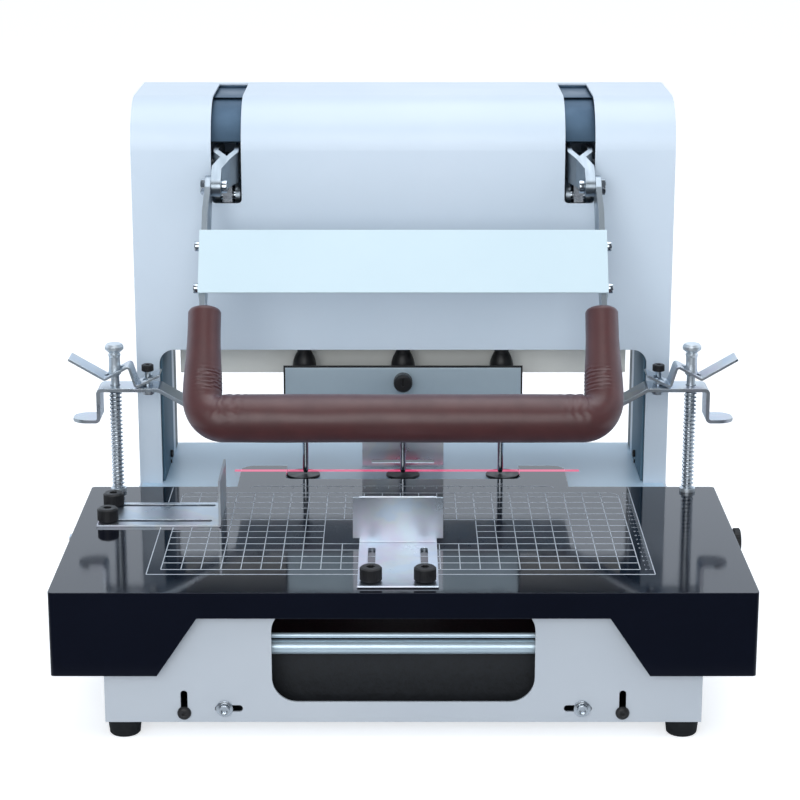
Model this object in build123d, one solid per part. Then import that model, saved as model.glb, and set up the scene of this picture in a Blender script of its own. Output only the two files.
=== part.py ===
from build123d import *
import math
import os

os.makedirs("parts", exist_ok=True)

# Three-hole drilling and tube-riveting machine for binding vouchers, in millimetres.
# X runs to the operator's right, Y to the back and Z up. The origin is on the floor, under the
# middle of the whole machine. Each function makes one piece; right-hand pieces are mirrored.

# Base cabinet
BASE_HALF = 222
BASE_FRONT = -191.5
BASE_BACK = 201.5
BASE_FLOOR = 13.5
DECK = 116
SHEET = 2
PANEL_BACK = BASE_FRONT + SHEET
WINDOW_HALF = 97.5
WINDOW_SILL = 29.5
WINDOW_TOP = 104
WINDOW_CORNER = 19
UPRIGHT_SLOT_X = 163
UPRIGHT_SLOT_Z = 28.2
FLAT_SLOT_X = 129.7
SLOT_LENGTH = 20.8
SLOT_WIDTH = 5.2
BOLT_STEM = 2.3
BUTTON_Z = 20.9
FLANGE_BOLT_X = 133
FLANGE_BOLT_Z = 24.3
FOOT_X = 209
FOOT_Y = (-177.5, 187)
FOOT_RADIUS = 13

# Chip tray and the two bars behind the window
TRAY_HALF = 149
TRAY_FRONT = -168
TRAY_TOP = 60
TRAY_SHEET = 1.5
BAR_Y = -176
ROUND_BAR_RADIUS = 5.5
ROUND_BAR_Z = 67.5
THIN_BAR_RADIUS = 2
THIN_BAR_Z = 76.4

# Work table
TABLE_TOP = 119
TABLE_HALF = 260
TABLE_FRONT = -201.5
TABLE_BACK = 58.5
TONGUE_HALF = 138.5
TONGUE_BACK = 119.5
NOTCH_HALF = 99.5
NOTCH_FRONT = 80.5
APRON_SHEET = 2
APRON_CORNER = 3
APRON_BOTTOM = 99
APRON_HALF = 151.5
EAR_X = 181.7
EAR_BOTTOM = 54
SIDE_APRON_BOTTOM = 84

# Drilling line
DRILL_Y = 100.5
DRILL_PITCH = 83
PAD_PITCH = 85
PAD_RADIUS = 14.25
PAD_TOP = 118
DRILL_RADIUS = 2.5
DRILL_BORE = 1.6
DRILL_TIP = 119
DRILL_TOP = 200
REAR_STOP_Y = 125.5
REAR_STOP_HALF = 35
REAR_STOP_BACK = 150
STOP_TOP = 157

# Head: one folded cover on two legs
COVER_SHEET = 1.5
COVER_FRONT = 78.5
COVER_BACK = 198.5
COVER_TOP = 439
COVER_BEND = 40
COVER_EDGE = 232
LEG_INSIDE = 203
LEG_FILLET = 12
SLOT_INNER = 132
SLOT_OUTER = 156.5
SLOT_BOTTOM = 355.5
SLOT_BACK = 190
FRAME_SHEET = 4
FRAME_TOP = 425
TIE_Y = (158, 190)
LOWER_TIE = (232, 238)
UPPER_TIE = (366, 372)
GUIDE_ROD_X = 110
GUIDE_ROD_Y = 172
GUIDE_ROD_RADIUS = 8
LAMP_Y = 176
LAMP_Z = 210

# Handle: it turns about the shaft; the knuckle joins lever and arm, the grip lies at the end
SHAFT_Y = 141
SHAFT_Z = 380
SHAFT_RADIUS = 8
SHAFT_HALF = 215
BEARING_RADIUS = 12
KNUCKLE_Y = 58.5
KNUCKLE_Z = 373
GRIP_Y = -50.5
GRIP_Z = 209
SHUTTER_RADIUS = 54.5
SHUTTER_X = (133.5, 155)
SHUTTER_ARC = (28, 125)
LIFT_PIN_REACH = 46
LIFT_PIN_ANGLE = -27.5
LIFT_PIN_RADIUS = 4
LEVER_HUMP = (88, 388)
LEVER_HUB = 15
KNUCKLE_BOLT = 4
CHEEK = 4
CHEEK_X = (136, 152.5)
CHEEK_BEND_Y = 82
PAIR_BEND_Y = (76, 66)
PAIR_X = 144.25
KNUCKLE_X = 151
ARM_X = 158.75
ARM_WIDTH = 22
ARM_SHEET = 4.5
ARM_BEND_Y = (45, 35)
ARM_END_RADIUS = 9
ARM_TAPER = 5
PLATE_SPAN = (43, 96.5)
PLATE_SHEET = 1.5
PLATE_SCREWS = (52, 88)
PLATE_SCREW_STEM = 2
LEG_X = 157.5
LEG_START = 106
ARM_END = LEG_START + 12
LEG_RADIUS = 13.5
GRIP_RADIUS = 19
CORE_RADIUS = 6
CORE_BEND = 16

# Carriage that the handle lifts and lowers, with its three spindles
BEAM_HALF = 189
BEAM_Y = (116, 126)
BEAM_Z = (203, 297)
HOUSING_HALF = 16
HOUSING_FRONT = 84
HOUSING_Z = (236, 292)
SPINDLE_RADIUS = 6
RUNNING_FIT = 0.05
CHUCK_RADIUS = 10
PULLEY_RADIUS = 16
BELT_SHEET = 1.5
BELT_GAP = 0.3
BELT_LEVELS = (300, 307, 314)
BELT_WIDTH = 6
MOTOR_Y = 160
MOTOR_RADIUS = 30
MOTOR_SHAFT_RADIUS = 4
MOTOR_Z = (241, 293)
LUG_X = (140, 148)
LUG_FRONT = 84
LUG_TOP = 370
LUG_FOOT = 240
BUSH_RADIUS = 14
BUSH_Z = (250, 292)
CHUCK_LOW = 185
CHUCK_SHOULDER = (195, 211)
SPINDLE_TOP = 322

# Presser that clamps the stack, on two sprung rods
ROD_X = 236.5
ROD_Y = 47.5
ROD_RADIUS = 3.5
PRESSER_Z = (166, 170)
PRESSER_HALF = 140
PRESSER_Y = (35, 115)
STRAP_Y = (35, 60)
STRAP_SHEET = 3
STRAP_TOP = 210
STRAP_TAB = (270.5, 182)
STRAP_RISER_X = 249.5
STRAP_SLOPE_X = (200, 136)
STRAP_FOOT_X = 112
STRAP_SCREW_X = 209.6
STRAP_SCREW_Z = (202.5, 222, 227.5)
STRAP_SCREW_RADIUS = 2.4
GUARD_HALF = 98
GUARD_TOP = 218
GUARD_Y = 72
KNOB_Z = 207
KNOB_STEM = 2.92
SPRING_RADIUS = 4.6
SPRING_WIRE = 1.2
SPRING_TURNS = 25
WIRE_SIDES = 5
SPRING_Z = (122, 207)
COLLAR_RADIUS = 6.5
ROD_NUT_LOW = 109
ROD_TOP = 245
LOCK_SHEET = 2
LOCK_Y = (36.5, 58.5)
LOCK_LINE = [(272.3, 233.6), (244, 217), (224, 228), (218.6, 210.6), (200, 220)]

# Adjustable stops on the table
PLATE = 2
THUMB_RADIUS = 8
THUMB_Z = (121, 132)
THUMB_STEM = 2.5
GUIDE_SLOT = 5.7
GUIDE_SLOT_START = 4
FRONT_STOP_X = (-34, 26)
FRONT_STOP_Y = (-191.5, -89.5)
FRONT_SCREW_X = (-24, 16)
FRONT_SCREW_Y = -180
FRONT_STOP_TRAVEL = 75
FENCE_X = (-242, -144)
FENCE_Y = (-50, 9)
FENCE_SCREW_X = -235
FENCE_SCREW_Y = (-38.5, 1.5)
FENCE_TRAVEL = 83
SIDE_KNOB_Y = -24.5
SIDE_KNOB_Z = 99
SIDE_STEM_RADIUS = 3.5


def block(x, y, z):
    """A square block; x, y and z each give its low and high face."""
    middle = Pos(sum(x) / 2, sum(y) / 2, sum(z) / 2)
    return middle * Box(x[1] - x[0], y[1] - y[0], z[1] - z[0])


def upright(radius, x, y, z):
    """A round post from z[0] to z[1]."""
    return Pos(x, y, sum(z) / 2) * Cylinder(radius, z[1] - z[0])


def across(radius, x, y, z):
    """A round bar along X from x[0] to x[1]."""
    return Pos(sum(x) / 2, y, z) * Rot(0, 90, 0) * Cylinder(radius, x[1] - x[0])


def along(radius, x, y, z):
    """A round bar along Y from y[0] to y[1]."""
    return Pos(x, sum(y) / 2, z) * Rot(90, 0, 0) * Cylinder(radius, y[1] - y[0])


def from_side(outline, x):
    """An outline drawn in Y and Z, carried from x[0] to x[1]."""
    plane = Plane(origin=(x[0], 0, 0), x_dir=(0, 1, 0), z_dir=(1, 0, 0))
    return extrude(plane * outline, x[1] - x[0])


def from_front(outline, y):
    """An outline drawn in X and Z, carried from y[0] to y[1]."""
    plane = Plane(origin=(0, y[1], 0), x_dir=(1, 0, 0), z_dir=(0, -1, 0))
    return extrude(plane * outline, y[1] - y[0])


def from_top(outline, z):
    """An outline drawn in X and Y, carried from z[0] to z[1]."""
    return extrude(Plane(origin=(0, 0, z[0])) * outline, z[1] - z[0])


def polygon(*points):
    return make_face(Polyline(*points, close=True))


def bent_strip(points, thickness, bend):
    """The edge view of a bent sheet, from the corners of its centre line."""
    centre_line = FilletPolyline(*points, radius=bend)
    return make_face(offset(centre_line, amount=thickness / 2, side=Side.BOTH).edges())


def turned(profile, x, y):
    """A turned piece from a half profile of radius and height, standing at x, y."""
    plane = Plane(origin=(x, y, 0), x_dir=(1, 0, 0), z_dir=(0, -1, 0))
    return revolve(plane * profile, Axis((x, y, 0), (0, 0, 1)))


def both_sides(piece):
    return [piece, mirror(piece, Plane.YZ)]


def group(pieces):
    """Separate equal pieces that share one node."""
    solids = [solid for piece in pieces for solid in piece.solids()]
    return Compound(children=solids)


# Base


def base_shell():
    half = BASE_HALF - SHEET
    outside = block((-BASE_HALF, BASE_HALF), (PANEL_BACK, BASE_BACK), (BASE_FLOOR, DECK))
    floor = BASE_FLOOR + SHEET
    inside = block((-half, half), (PANEL_BACK - SHEET, BASE_BACK - SHEET), (floor, DECK - SHEET))
    door_half = TRAY_HALF + SHEET
    door = block((-door_half, door_half), (BASE_BACK - 2 * SHEET, BASE_BACK + 1), (floor, TRAY_TOP + 3))
    return outside - inside - door


def front_panel():
    through = (BASE_FRONT - 1, PANEL_BACK + 1)
    panel = block((-BASE_HALF, BASE_HALF), (BASE_FRONT, PANEL_BACK), (BASE_FLOOR, DECK))
    height = WINDOW_TOP - WINDOW_SILL
    window = Pos(0, WINDOW_SILL + height / 2) * RectangleRounded(2 * WINDOW_HALF, height, WINDOW_CORNER)
    panel -= from_front(window, through)
    upright_slot = Pos(UPRIGHT_SLOT_X, UPRIGHT_SLOT_Z) * SlotOverall(SLOT_LENGTH, SLOT_WIDTH, rotation=90)
    flat_slot = Pos(FLAT_SLOT_X, FLANGE_BOLT_Z) * SlotOverall(SLOT_LENGTH, SLOT_WIDTH)
    for slot in both_sides(from_front(upright_slot, through)) + both_sides(from_front(flat_slot, through)):
        panel -= slot
    return panel


def rubber_feet():
    """Rubber cones, a little wider at the top."""
    tread = FOOT_RADIUS - 2.5
    outline = polygon((0, 0), (tread, 0), (tread + 1, 1), (FOOT_RADIUS, BASE_FLOOR), (0, BASE_FLOOR))
    foot = turned(outline, 0, 0)
    return group(Pos(side * FOOT_X, y, 0) * foot for side in (-1, 1) for y in FOOT_Y)


def case_screws():
    """Two button screws and two flange bolts in the panel's slots, and the bolt in the table's left apron."""
    button = along(5.25, UPRIGHT_SLOT_X, (BASE_FRONT - 3, BASE_FRONT), BUTTON_Z)
    button = fillet(button.faces().sort_by(Axis.Y)[0].edges(), 2)
    button += along(BOLT_STEM, UPRIGHT_SLOT_X, (BASE_FRONT, PANEL_BACK + 5), BUTTON_Z)
    flange = along(6.5, FLANGE_BOLT_X, (BASE_FRONT - 1.2, BASE_FRONT), FLANGE_BOLT_Z)
    flange += along(4.2, FLANGE_BOLT_X, (BASE_FRONT - 5, BASE_FRONT - 1.2), FLANGE_BOLT_Z)
    flange += along(BOLT_STEM, FLANGE_BOLT_X, (BASE_FRONT, PANEL_BACK + 5), FLANGE_BOLT_Z)
    apron_bolt = across(6, (-TABLE_HALF - 8, -TABLE_HALF), SIDE_KNOB_Y, SIDE_KNOB_Z)
    apron_bolt += across(SIDE_STEM_RADIUS, (-TABLE_HALF, -TABLE_HALF + 8), SIDE_KNOB_Y, SIDE_KNOB_Z)
    return group(both_sides(button) + both_sides(flange) + [apron_bolt])


def window_bars():
    half = BASE_HALF - SHEET
    thick = across(ROUND_BAR_RADIUS, (-half, half), BAR_Y, ROUND_BAR_Z)
    thin = across(THIN_BAR_RADIUS, (-half, half), BAR_Y, THIN_BAR_Z)
    return group([thick, thin])


def chip_tray():
    """Open tray that catches the paper chips; it draws out of the back, by a finger slot."""
    floor = BASE_FLOOR + SHEET
    outside = block((-TRAY_HALF, TRAY_HALF), (TRAY_FRONT, BASE_BACK), (floor, TRAY_TOP))
    half = TRAY_HALF - TRAY_SHEET
    room = (TRAY_FRONT + TRAY_SHEET, BASE_BACK - TRAY_SHEET)
    inside = block((-half, half), room, (floor + TRAY_SHEET, TRAY_TOP + 1))
    finger_slot = Pos(0, 46) * SlotOverall(70, 14)
    return outside - inside - from_front(finger_slot, (BASE_BACK - 5, BASE_BACK + 1))


# Table and the fixed pieces on it


def table():
    """Flat top with a tongue between the legs, notched for the pads, and an apron with two ears."""
    depth = TABLE_BACK - TABLE_FRONT
    top = Pos(0, TABLE_FRONT + depth / 2) * RectangleRounded(2 * TABLE_HALF, depth, APRON_CORNER)
    tongue_depth = TONGUE_BACK - TABLE_BACK + 60
    tongue = Pos(0, TONGUE_BACK - tongue_depth / 2) * RectangleRounded(2 * TONGUE_HALF, tongue_depth, 12)
    notch_depth = TONGUE_BACK - NOTCH_FRONT + 20
    notch = Pos(0, NOTCH_FRONT + notch_depth / 2) * RectangleRounded(2 * NOTCH_HALF, notch_depth, 6)
    plate = from_top(top + tongue - notch, (DECK, TABLE_TOP))
    end = TABLE_HALF - APRON_CORNER
    front = polygon(
        (-end, DECK), (-end, EAR_BOTTOM), (-EAR_X, EAR_BOTTOM), (-APRON_HALF, APRON_BOTTOM),
        (APRON_HALF, APRON_BOTTOM), (EAR_X, EAR_BOTTOM), (end, EAR_BOTTOM), (end, DECK),
    )
    plate += from_front(front, (TABLE_FRONT, TABLE_FRONT + APRON_SHEET))
    near = TABLE_FRONT + APRON_CORNER
    far = TABLE_BACK - APRON_CORNER
    side = polygon(
        (near, DECK), (near, EAR_BOTTOM), (-150, EAR_BOTTOM), (-110, SIDE_APRON_BOTTOM),
        (far, SIDE_APRON_BOTTOM), (far, DECK),
    )
    side_apron = from_side(side, (TABLE_HALF - APRON_SHEET, TABLE_HALF))
    bend = Pos(end, near) * (Circle(APRON_CORNER) - Circle(APRON_CORNER - APRON_SHEET))
    quarter = Pos(TABLE_HALF, TABLE_FRONT) * Rectangle(2 * APRON_CORNER, 2 * APRON_CORNER)
    corner = from_top(bend & quarter, (EAR_BOTTOM, DECK))
    for piece in both_sides(side_apron) + both_sides(corner):
        plate += piece
    for hole in both_sides(upright(ROD_RADIUS + 0.02, ROD_X, ROD_Y, (DECK - 1, TABLE_TOP + 1))):
        plate -= hole
    for x, y in thumb_screw_places().values():
        plate -= upright(THUMB_STEM + RUNNING_FIT, x, y, (DECK - 1, TABLE_TOP + 1))
    through = (TABLE_HALF - 5, TABLE_HALF + 5)
    for hole in both_sides(across(SIDE_STEM_RADIUS + RUNNING_FIT, through, SIDE_KNOB_Y, SIDE_KNOB_Z)):
        plate -= hole
    return plate


def cutting_pads():
    pad = upright(PAD_RADIUS, 0, DRILL_Y, (DECK, PAD_TOP))
    pad = chamfer(pad.edges().filter_by(GeomType.CIRCLE).sort_by(Axis.Z)[-1], 0.6)
    return group(Pos(place * PAD_PITCH, 0, 0) * pad for place in (-1, 0, 1))


def rear_stop():
    """Angle plate behind the pads, with a long slot at its foot."""
    wide = (-REAR_STOP_HALF, REAR_STOP_HALF)
    wall = block(wide, (REAR_STOP_Y, REAR_STOP_Y + PLATE), (DECK, STOP_TOP))
    foot = block(wide, (REAR_STOP_Y, REAR_STOP_BACK), (DECK, DECK + PLATE))
    slot = block((-27, 27), (REAR_STOP_Y - 1, REAR_STOP_Y + PLATE + 1), (119.5, 122.5))
    return wall + foot - slot


# Head


def leg_gap(y):
    """The open space between the legs, with rounded upper corners, from y[0] to y[1]."""
    height = COVER_EDGE - DECK + 60
    opening = Pos(0, COVER_EDGE - height / 2) * RectangleRounded(2 * LEG_INSIDE, height, LEG_FILLET)
    return from_front(opening, y)


def cover_outline(inset, back, top_radius):
    """The head seen from the side, drawn in from the outer skin."""
    front = COVER_FRONT + inset
    top = COVER_TOP - inset
    outline = polygon((front, DECK), (front, top), (back, top), (back, DECK))
    corner = outline.vertices().sort_by(Axis.Y)[-2:].sort_by(Axis.X)[0]
    return fillet(corner, top_radius)


def front_cover():
    """Front and top in one folded sheet on two legs, with two slots for the levers."""
    skin = cover_outline(0, COVER_BACK, COVER_BEND)
    hollow = cover_outline(COVER_SHEET, COVER_BACK + 10, COVER_BEND - COVER_SHEET)
    cover = from_side(skin - hollow, (-BASE_HALF, BASE_HALF))
    cover -= leg_gap((COVER_FRONT - 1, COVER_FRONT + 5))
    slot = block((SLOT_INNER, SLOT_OUTER), (COVER_FRONT - 5, SLOT_BACK), (SLOT_BOTTOM, COVER_TOP + 1))
    slot = fillet(slot.edges().filter_by(Axis.Y).sort_by(Axis.Z)[:2], 3.5)
    for opening in both_sides(slot):
        cover -= opening
    return cover


def back_cover():
    half = BASE_HALF - COVER_SHEET
    sheet = block((-half, half), (COVER_BACK - COVER_SHEET, COVER_BACK), (DECK, COVER_TOP - COVER_SHEET))
    return sheet - leg_gap((COVER_BACK - 5, COVER_BACK + 1))


def side_panel():
    outline = cover_outline(COVER_SHEET, COVER_BACK, COVER_BEND - COVER_SHEET)
    return from_side(outline, (BASE_HALF - COVER_SHEET, BASE_HALF))


def side_frame():
    """Inner plate of a column; it carries the handle shaft's bearing."""
    front = COVER_FRONT + COVER_SHEET
    back = COVER_BACK - COVER_SHEET
    outline = polygon((front, DECK), (front, FRAME_TOP), (back, FRAME_TOP), (back, DECK))
    corner = outline.vertices().sort_by(Axis.Y)[-2:].sort_by(Axis.X)[0]
    plate = from_side(fillet(corner, COVER_BEND), (LEG_INSIDE, LEG_INSIDE + FRAME_SHEET))
    return plate - across(BEARING_RADIUS, (LEG_INSIDE - 1, LEG_INSIDE + 10), SHAFT_Y, SHAFT_Z)


def shaft_bearings():
    bearing = across(BEARING_RADIUS, (LEG_INSIDE, LEG_INSIDE + FRAME_SHEET), SHAFT_Y, SHAFT_Z)
    bearing += across(BEARING_RADIUS + 4, (LEG_INSIDE - 4, LEG_INSIDE), SHAFT_Y, SHAFT_Z)
    bearing -= across(SHAFT_RADIUS + RUNNING_FIT, (LEG_INSIDE - 10, LEG_INSIDE + 10), SHAFT_Y, SHAFT_Z)
    return group(both_sides(bearing))


def head_ties():
    """Two cross plates between the column frames; they hold the guide rods."""
    ties = []
    for z in (LOWER_TIE, UPPER_TIE):
        tie = block((-LEG_INSIDE, LEG_INSIDE), TIE_Y, z)
        for hole in both_sides(upright(GUIDE_ROD_RADIUS, GUIDE_ROD_X, GUIDE_ROD_Y, (z[0] - 1, z[1] + 1))):
            tie -= hole
        ties.append(tie)
    return group(ties)


def guide_rods():
    rod = upright(GUIDE_ROD_RADIUS, GUIDE_ROD_X, GUIDE_ROD_Y, (LOWER_TIE[0], UPPER_TIE[1]))
    return group(both_sides(rod))


def laser_module():
    """Line lamp under the lower tie, aimed at the drilling line."""
    slope = math.degrees(math.atan2(LAMP_Y - DRILL_Y, LAMP_Z - PAD_TOP))
    barrel = Cylinder(7, 30) - Pos(0, 0, -14) * Cylinder(4, 6)
    bracket = block((-5, 5), (LAMP_Y - 1, LAMP_Y + 11), (LAMP_Z + 2, LOWER_TIE[0]))
    return Pos(0, LAMP_Y, LAMP_Z) * Rot(-slope, 0, 0) * barrel + bracket


# Handle


def shaft_point(reach, angle):
    """A point seen from the side, at an angle above the horizontal that points forward from the shaft."""
    turn = math.radians(angle)
    return (SHAFT_Y - reach * math.cos(turn), SHAFT_Z + reach * math.sin(turn))


def sector(first, last):
    """A wide wedge from the shaft's centre between two angles."""
    far = [shaft_point(150, first + (last - first) * step / 3) for step in range(4)]
    return polygon((SHAFT_Y, SHAFT_Z), *far)


def disc(radius, point):
    return Pos(*point) * Circle(radius)


def pair_line(shift):
    """Plan of the clamped plates from the cover to the knuckle, shifted outward by an offset."""
    far, near = PAIR_BEND_Y
    slip = shift * math.tan(math.atan2(KNUCKLE_X - PAIR_X, far - near) / 2)
    return [(PAIR_X + shift, far + slip), (KNUCKLE_X + shift, near + slip)]


def sheet_plan(line, thickness):
    """A sharply bent sheet seen from above."""
    return make_face(offset(line, amount=thickness / 2, side=Side.BOTH, kind=Kind.INTERSECTION).edges())


def lever():
    """Two cheeks on the shaft that close into one clamped pair before the knuckle."""
    hub = disc(LEVER_HUB, (SHAFT_Y, SHAFT_Z))
    hump = disc(12, LEVER_HUMP)
    pin = shaft_point(LIFT_PIN_REACH, LIFT_PIN_ANGLE)
    profile = make_hull((hub + hump).edges())
    profile += make_hull((hump + disc(8, (KNUCKLE_Y, KNUCKLE_Z))).edges())
    profile += make_hull((hub + disc(9, pin)).edges())
    plans = []
    for side, cheek_x in zip((-1, 1), CHEEK_X):
        tail = pair_line(side * CHEEK / 2)
        end = (tail[1][0], KNUCKLE_Y - 10)
        line = Polyline((cheek_x, SHAFT_Y + 20), (cheek_x, CHEEK_BEND_Y), *tail, end)
        plans.append(sheet_plan(line, CHEEK))
    wide = (120, 170)
    solid = from_side(profile, wide) & from_top(plans[0] + plans[1], (300, 450))
    solid -= across(SHAFT_RADIUS, wide, SHAFT_Y, SHAFT_Z)
    solid -= across(LIFT_PIN_RADIUS, wide, *pin)
    return solid - across(KNUCKLE_BOLT, wide, KNUCKLE_Y, KNUCKLE_Z)


def handle_shaft():
    return across(SHAFT_RADIUS, (-SHAFT_HALF, SHAFT_HALF), SHAFT_Y, SHAFT_Z)


def slot_shutters():
    """Curved plates that close the cover's slots, each on a web beside the inner cheek."""
    centre = (SHAFT_Y, SHAFT_Z)
    ring = disc(SHUTTER_RADIUS, centre) - disc(SHUTTER_RADIUS - COVER_SHEET, centre)
    web = disc(SHUTTER_RADIUS - 1, centre) - disc(SHAFT_RADIUS + 0.5, centre)
    web_face = CHEEK_X[0] + CHEEK / 2
    shutter = from_side(ring & sector(*SHUTTER_ARC), SHUTTER_X)
    shutter += from_side(web & sector(65, 100), (web_face, web_face + COVER_SHEET))
    return group(both_sides(shutter))


def arm_frame():
    """Arm coordinates: x runs down the arm from the knuckle, y to its rear and z outward."""
    down = (0, GRIP_Y - KNUCKLE_Y, GRIP_Z - KNUCKLE_Z)
    return Plane(origin=(0, KNUCKLE_Y, KNUCKLE_Z), x_dir=down, z_dir=(1, 0, 0)).location


def arm_length():
    return math.hypot(GRIP_Y - KNUCKLE_Y, GRIP_Z - KNUCKLE_Z)


def handle_arm():
    """Flat bar from the knuckle into the grip's leg, bent a little outward under the knuckle."""
    flat = Pos((ARM_TAPER + ARM_END) / 2, 0) * Rectangle(ARM_END - ARM_TAPER, ARM_WIDTH)
    outline = make_hull((Circle(ARM_END_RADIUS) + flat).edges())
    bar = arm_frame() * Pos(0, 0, 140) * extrude(outline, 40)
    knuckle_x = KNUCKLE_X + CHEEK + ARM_SHEET / 2
    bend_far, bend_near = ARM_BEND_Y
    line = Polyline((knuckle_x, KNUCKLE_Y + 30), (knuckle_x, bend_far), (ARM_X, bend_near), (ARM_X, -120))
    bar = bar & from_top(sheet_plan(line, ARM_SHEET), (150, 450))
    bar -= across(KNUCKLE_BOLT, (120, 170), KNUCKLE_Y, KNUCKLE_Z)
    for place in PLATE_SCREWS:
        bar -= arm_frame() * Pos(place, 0, 150) * Cylinder(PLATE_SCREW_STEM, 40)
    return bar


def cross_plate():
    """Blank plate across both arms, its ends folded back along their outer faces."""
    front = -ARM_WIDTH / 2
    middle = sum(PLATE_SPAN) / 2
    height = PLATE_SPAN[1] - PLATE_SPAN[0]
    ear_face = ARM_X + ARM_SHEET / 2
    half = ear_face + PLATE_SHEET
    plate = Pos(middle, front - PLATE_SHEET / 2, 0) * Box(height, PLATE_SHEET, 2 * half)
    ear = Box(height, ARM_WIDTH / 2 + 4, PLATE_SHEET)
    for side in (-1, 1):
        plate += Pos(middle, front / 2 + 2, side * (ear_face + PLATE_SHEET / 2)) * ear
    for place in PLATE_SCREWS:
        plate -= Pos(place, 0, 0) * Cylinder(PLATE_SCREW_STEM, 2 * half + 10)
    return arm_frame() * plate


def handle_pins_and_bolts():
    """Lift pins, knuckle bolts and the four screws of the cross plate."""
    pin_y, pin_z = shaft_point(LIFT_PIN_REACH, LIFT_PIN_ANGLE)
    outer_cheek = CHEEK_X[1] + CHEEK / 2
    pin = across(LIFT_PIN_RADIUS, (CHEEK_X[0] - CHEEK / 2, outer_cheek), pin_y, pin_z)
    pair_inside = KNUCKLE_X - CHEEK
    arm_outside = KNUCKLE_X + CHEEK + ARM_SHEET
    bolt = across(KNUCKLE_BOLT, (pair_inside, arm_outside), KNUCKLE_Y, KNUCKLE_Z)
    bolt += across(5.5, (pair_inside - 5, pair_inside), KNUCKLE_Y, KNUCKLE_Z)
    nut = Plane(origin=(arm_outside, KNUCKLE_Y, KNUCKLE_Z), z_dir=(1, 0, 0)) * RegularPolygon(7, 6)
    bolt += extrude(nut, 4)
    pieces = both_sides(pin) + both_sides(bolt)
    ear_face = ARM_X + ARM_SHEET / 2 + PLATE_SHEET
    for place in PLATE_SCREWS:
        screw = Pos(place, 0, ear_face + 2.25) * Cylinder(4.2, 4.5)
        screw += Pos(place, 0, ear_face - 3) * Cylinder(PLATE_SCREW_STEM, 6)
        pieces += both_sides(arm_frame() * screw)
    return group(pieces)


def grip_core():
    """Steel rod inside the grip, from one arm's end to the other's."""
    reach = arm_length()
    corners = [(ARM_END, 0, -LEG_X), (reach, 0, -LEG_X), (reach, 0, LEG_X), (ARM_END, 0, LEG_X)]
    path = FilletPolyline(*corners, radius=CORE_BEND)
    section = Plane(origin=corners[0], z_dir=(1, 0, 0)) * Circle(CORE_RADIUS)
    return arm_frame() * sweep(section, path=path)


def grip():
    """Soft U-shaped grip: two legs that widen to rounded elbows, and a thick bar."""
    reach = arm_length()
    elbow = LEG_X + LEG_RADIUS - GRIP_RADIUS
    body = Pos(reach, 0, 0) * Cylinder(GRIP_RADIUS, 2 * elbow)
    cone = Rot(0, 90, 0) * Cone(LEG_RADIUS - 0.5, LEG_RADIUS + 1, reach - LEG_START)
    for side in (-1, 1):
        body += Pos(reach, 0, side * elbow) * Sphere(GRIP_RADIUS)
        leg = Pos((LEG_START + reach) / 2, 0, side * LEG_X) * cone
        body += fillet(leg.edges().filter_by(GeomType.CIRCLE).sort_by(Axis.X)[0], 2)
    return arm_frame() * body - handle_arm() - mirror(handle_arm(), Plane.YZ) - grip_core()


# Carriage


def spindle_beam():
    """Upright plate with three bearing housings in front and a motor shelf behind."""
    beam = block((-BEAM_HALF, BEAM_HALF), BEAM_Y, BEAM_Z)
    for place in (-1, 0, 1):
        x = place * DRILL_PITCH
        beam += block((x - HOUSING_HALF, x + HOUSING_HALF), (HOUSING_FRONT, BEAM_Y[0]), HOUSING_Z)
    shelf = MOTOR_RADIUS + 4
    beam += block((-shelf, shelf), (BEAM_Y[1], MOTOR_Y + MOTOR_RADIUS), (MOTOR_Z[1], BEAM_Z[1]))
    bore = upright(SPINDLE_RADIUS + RUNNING_FIT, 0, DRILL_Y, (HOUSING_Z[0] - 1, HOUSING_Z[1] + 1))
    for place in (-1, 0, 1):
        beam -= Pos(place * DRILL_PITCH, 0, 0) * bore
    return beam - upright(6, 0, MOTOR_Y, (MOTOR_Z[1] - 1, BEAM_Z[1] + 1))


def lift_lugs():
    """Plates on the beam whose level slots take the handle's lift pins."""
    pin_y, pin_z = shaft_point(LIFT_PIN_REACH, LIFT_PIN_ANGLE)
    nearest = SHAFT_Y - LIFT_PIN_REACH
    rear = BEAM_Y[0] - 4
    outline = polygon(
        (LUG_FRONT, 300), (LUG_FRONT, LUG_TOP), (rear, LUG_TOP), (rear, 310),
        (BEAM_Y[0], BEAM_Z[1]), (BEAM_Y[0], LUG_FOOT), (100, LUG_FOOT),
    )
    slot = SlotCenterToCenter(pin_y - nearest + 0.4, 2 * LIFT_PIN_RADIUS + 0.9)
    outline -= Pos((pin_y + nearest) / 2, pin_z) * slot
    return group(both_sides(from_side(outline, LUG_X)))


def guide_bushes():
    low, high = BUSH_Z
    bush = upright(BUSH_RADIUS, GUIDE_ROD_X, GUIDE_ROD_Y, BUSH_Z)
    bush += block((GUIDE_ROD_X - 10, GUIDE_ROD_X + 10), (BEAM_Y[1], GUIDE_ROD_Y), (low + 6, high - 6))
    bush -= upright(GUIDE_ROD_RADIUS + RUNNING_FIT, GUIDE_ROD_X, GUIDE_ROD_Y, (low - 5, high + 5))
    return group(both_sides(bush))


def motor():
    body = upright(MOTOR_RADIUS, 0, MOTOR_Y, MOTOR_Z)
    body = chamfer(body.edges().filter_by(GeomType.CIRCLE).sort_by(Axis.Z)[0], 2)
    return body - upright(MOTOR_SHAFT_RADIUS + RUNNING_FIT, 0, MOTOR_Y, (MOTOR_Z[1] - 10, MOTOR_Z[1] + 1))


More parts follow.
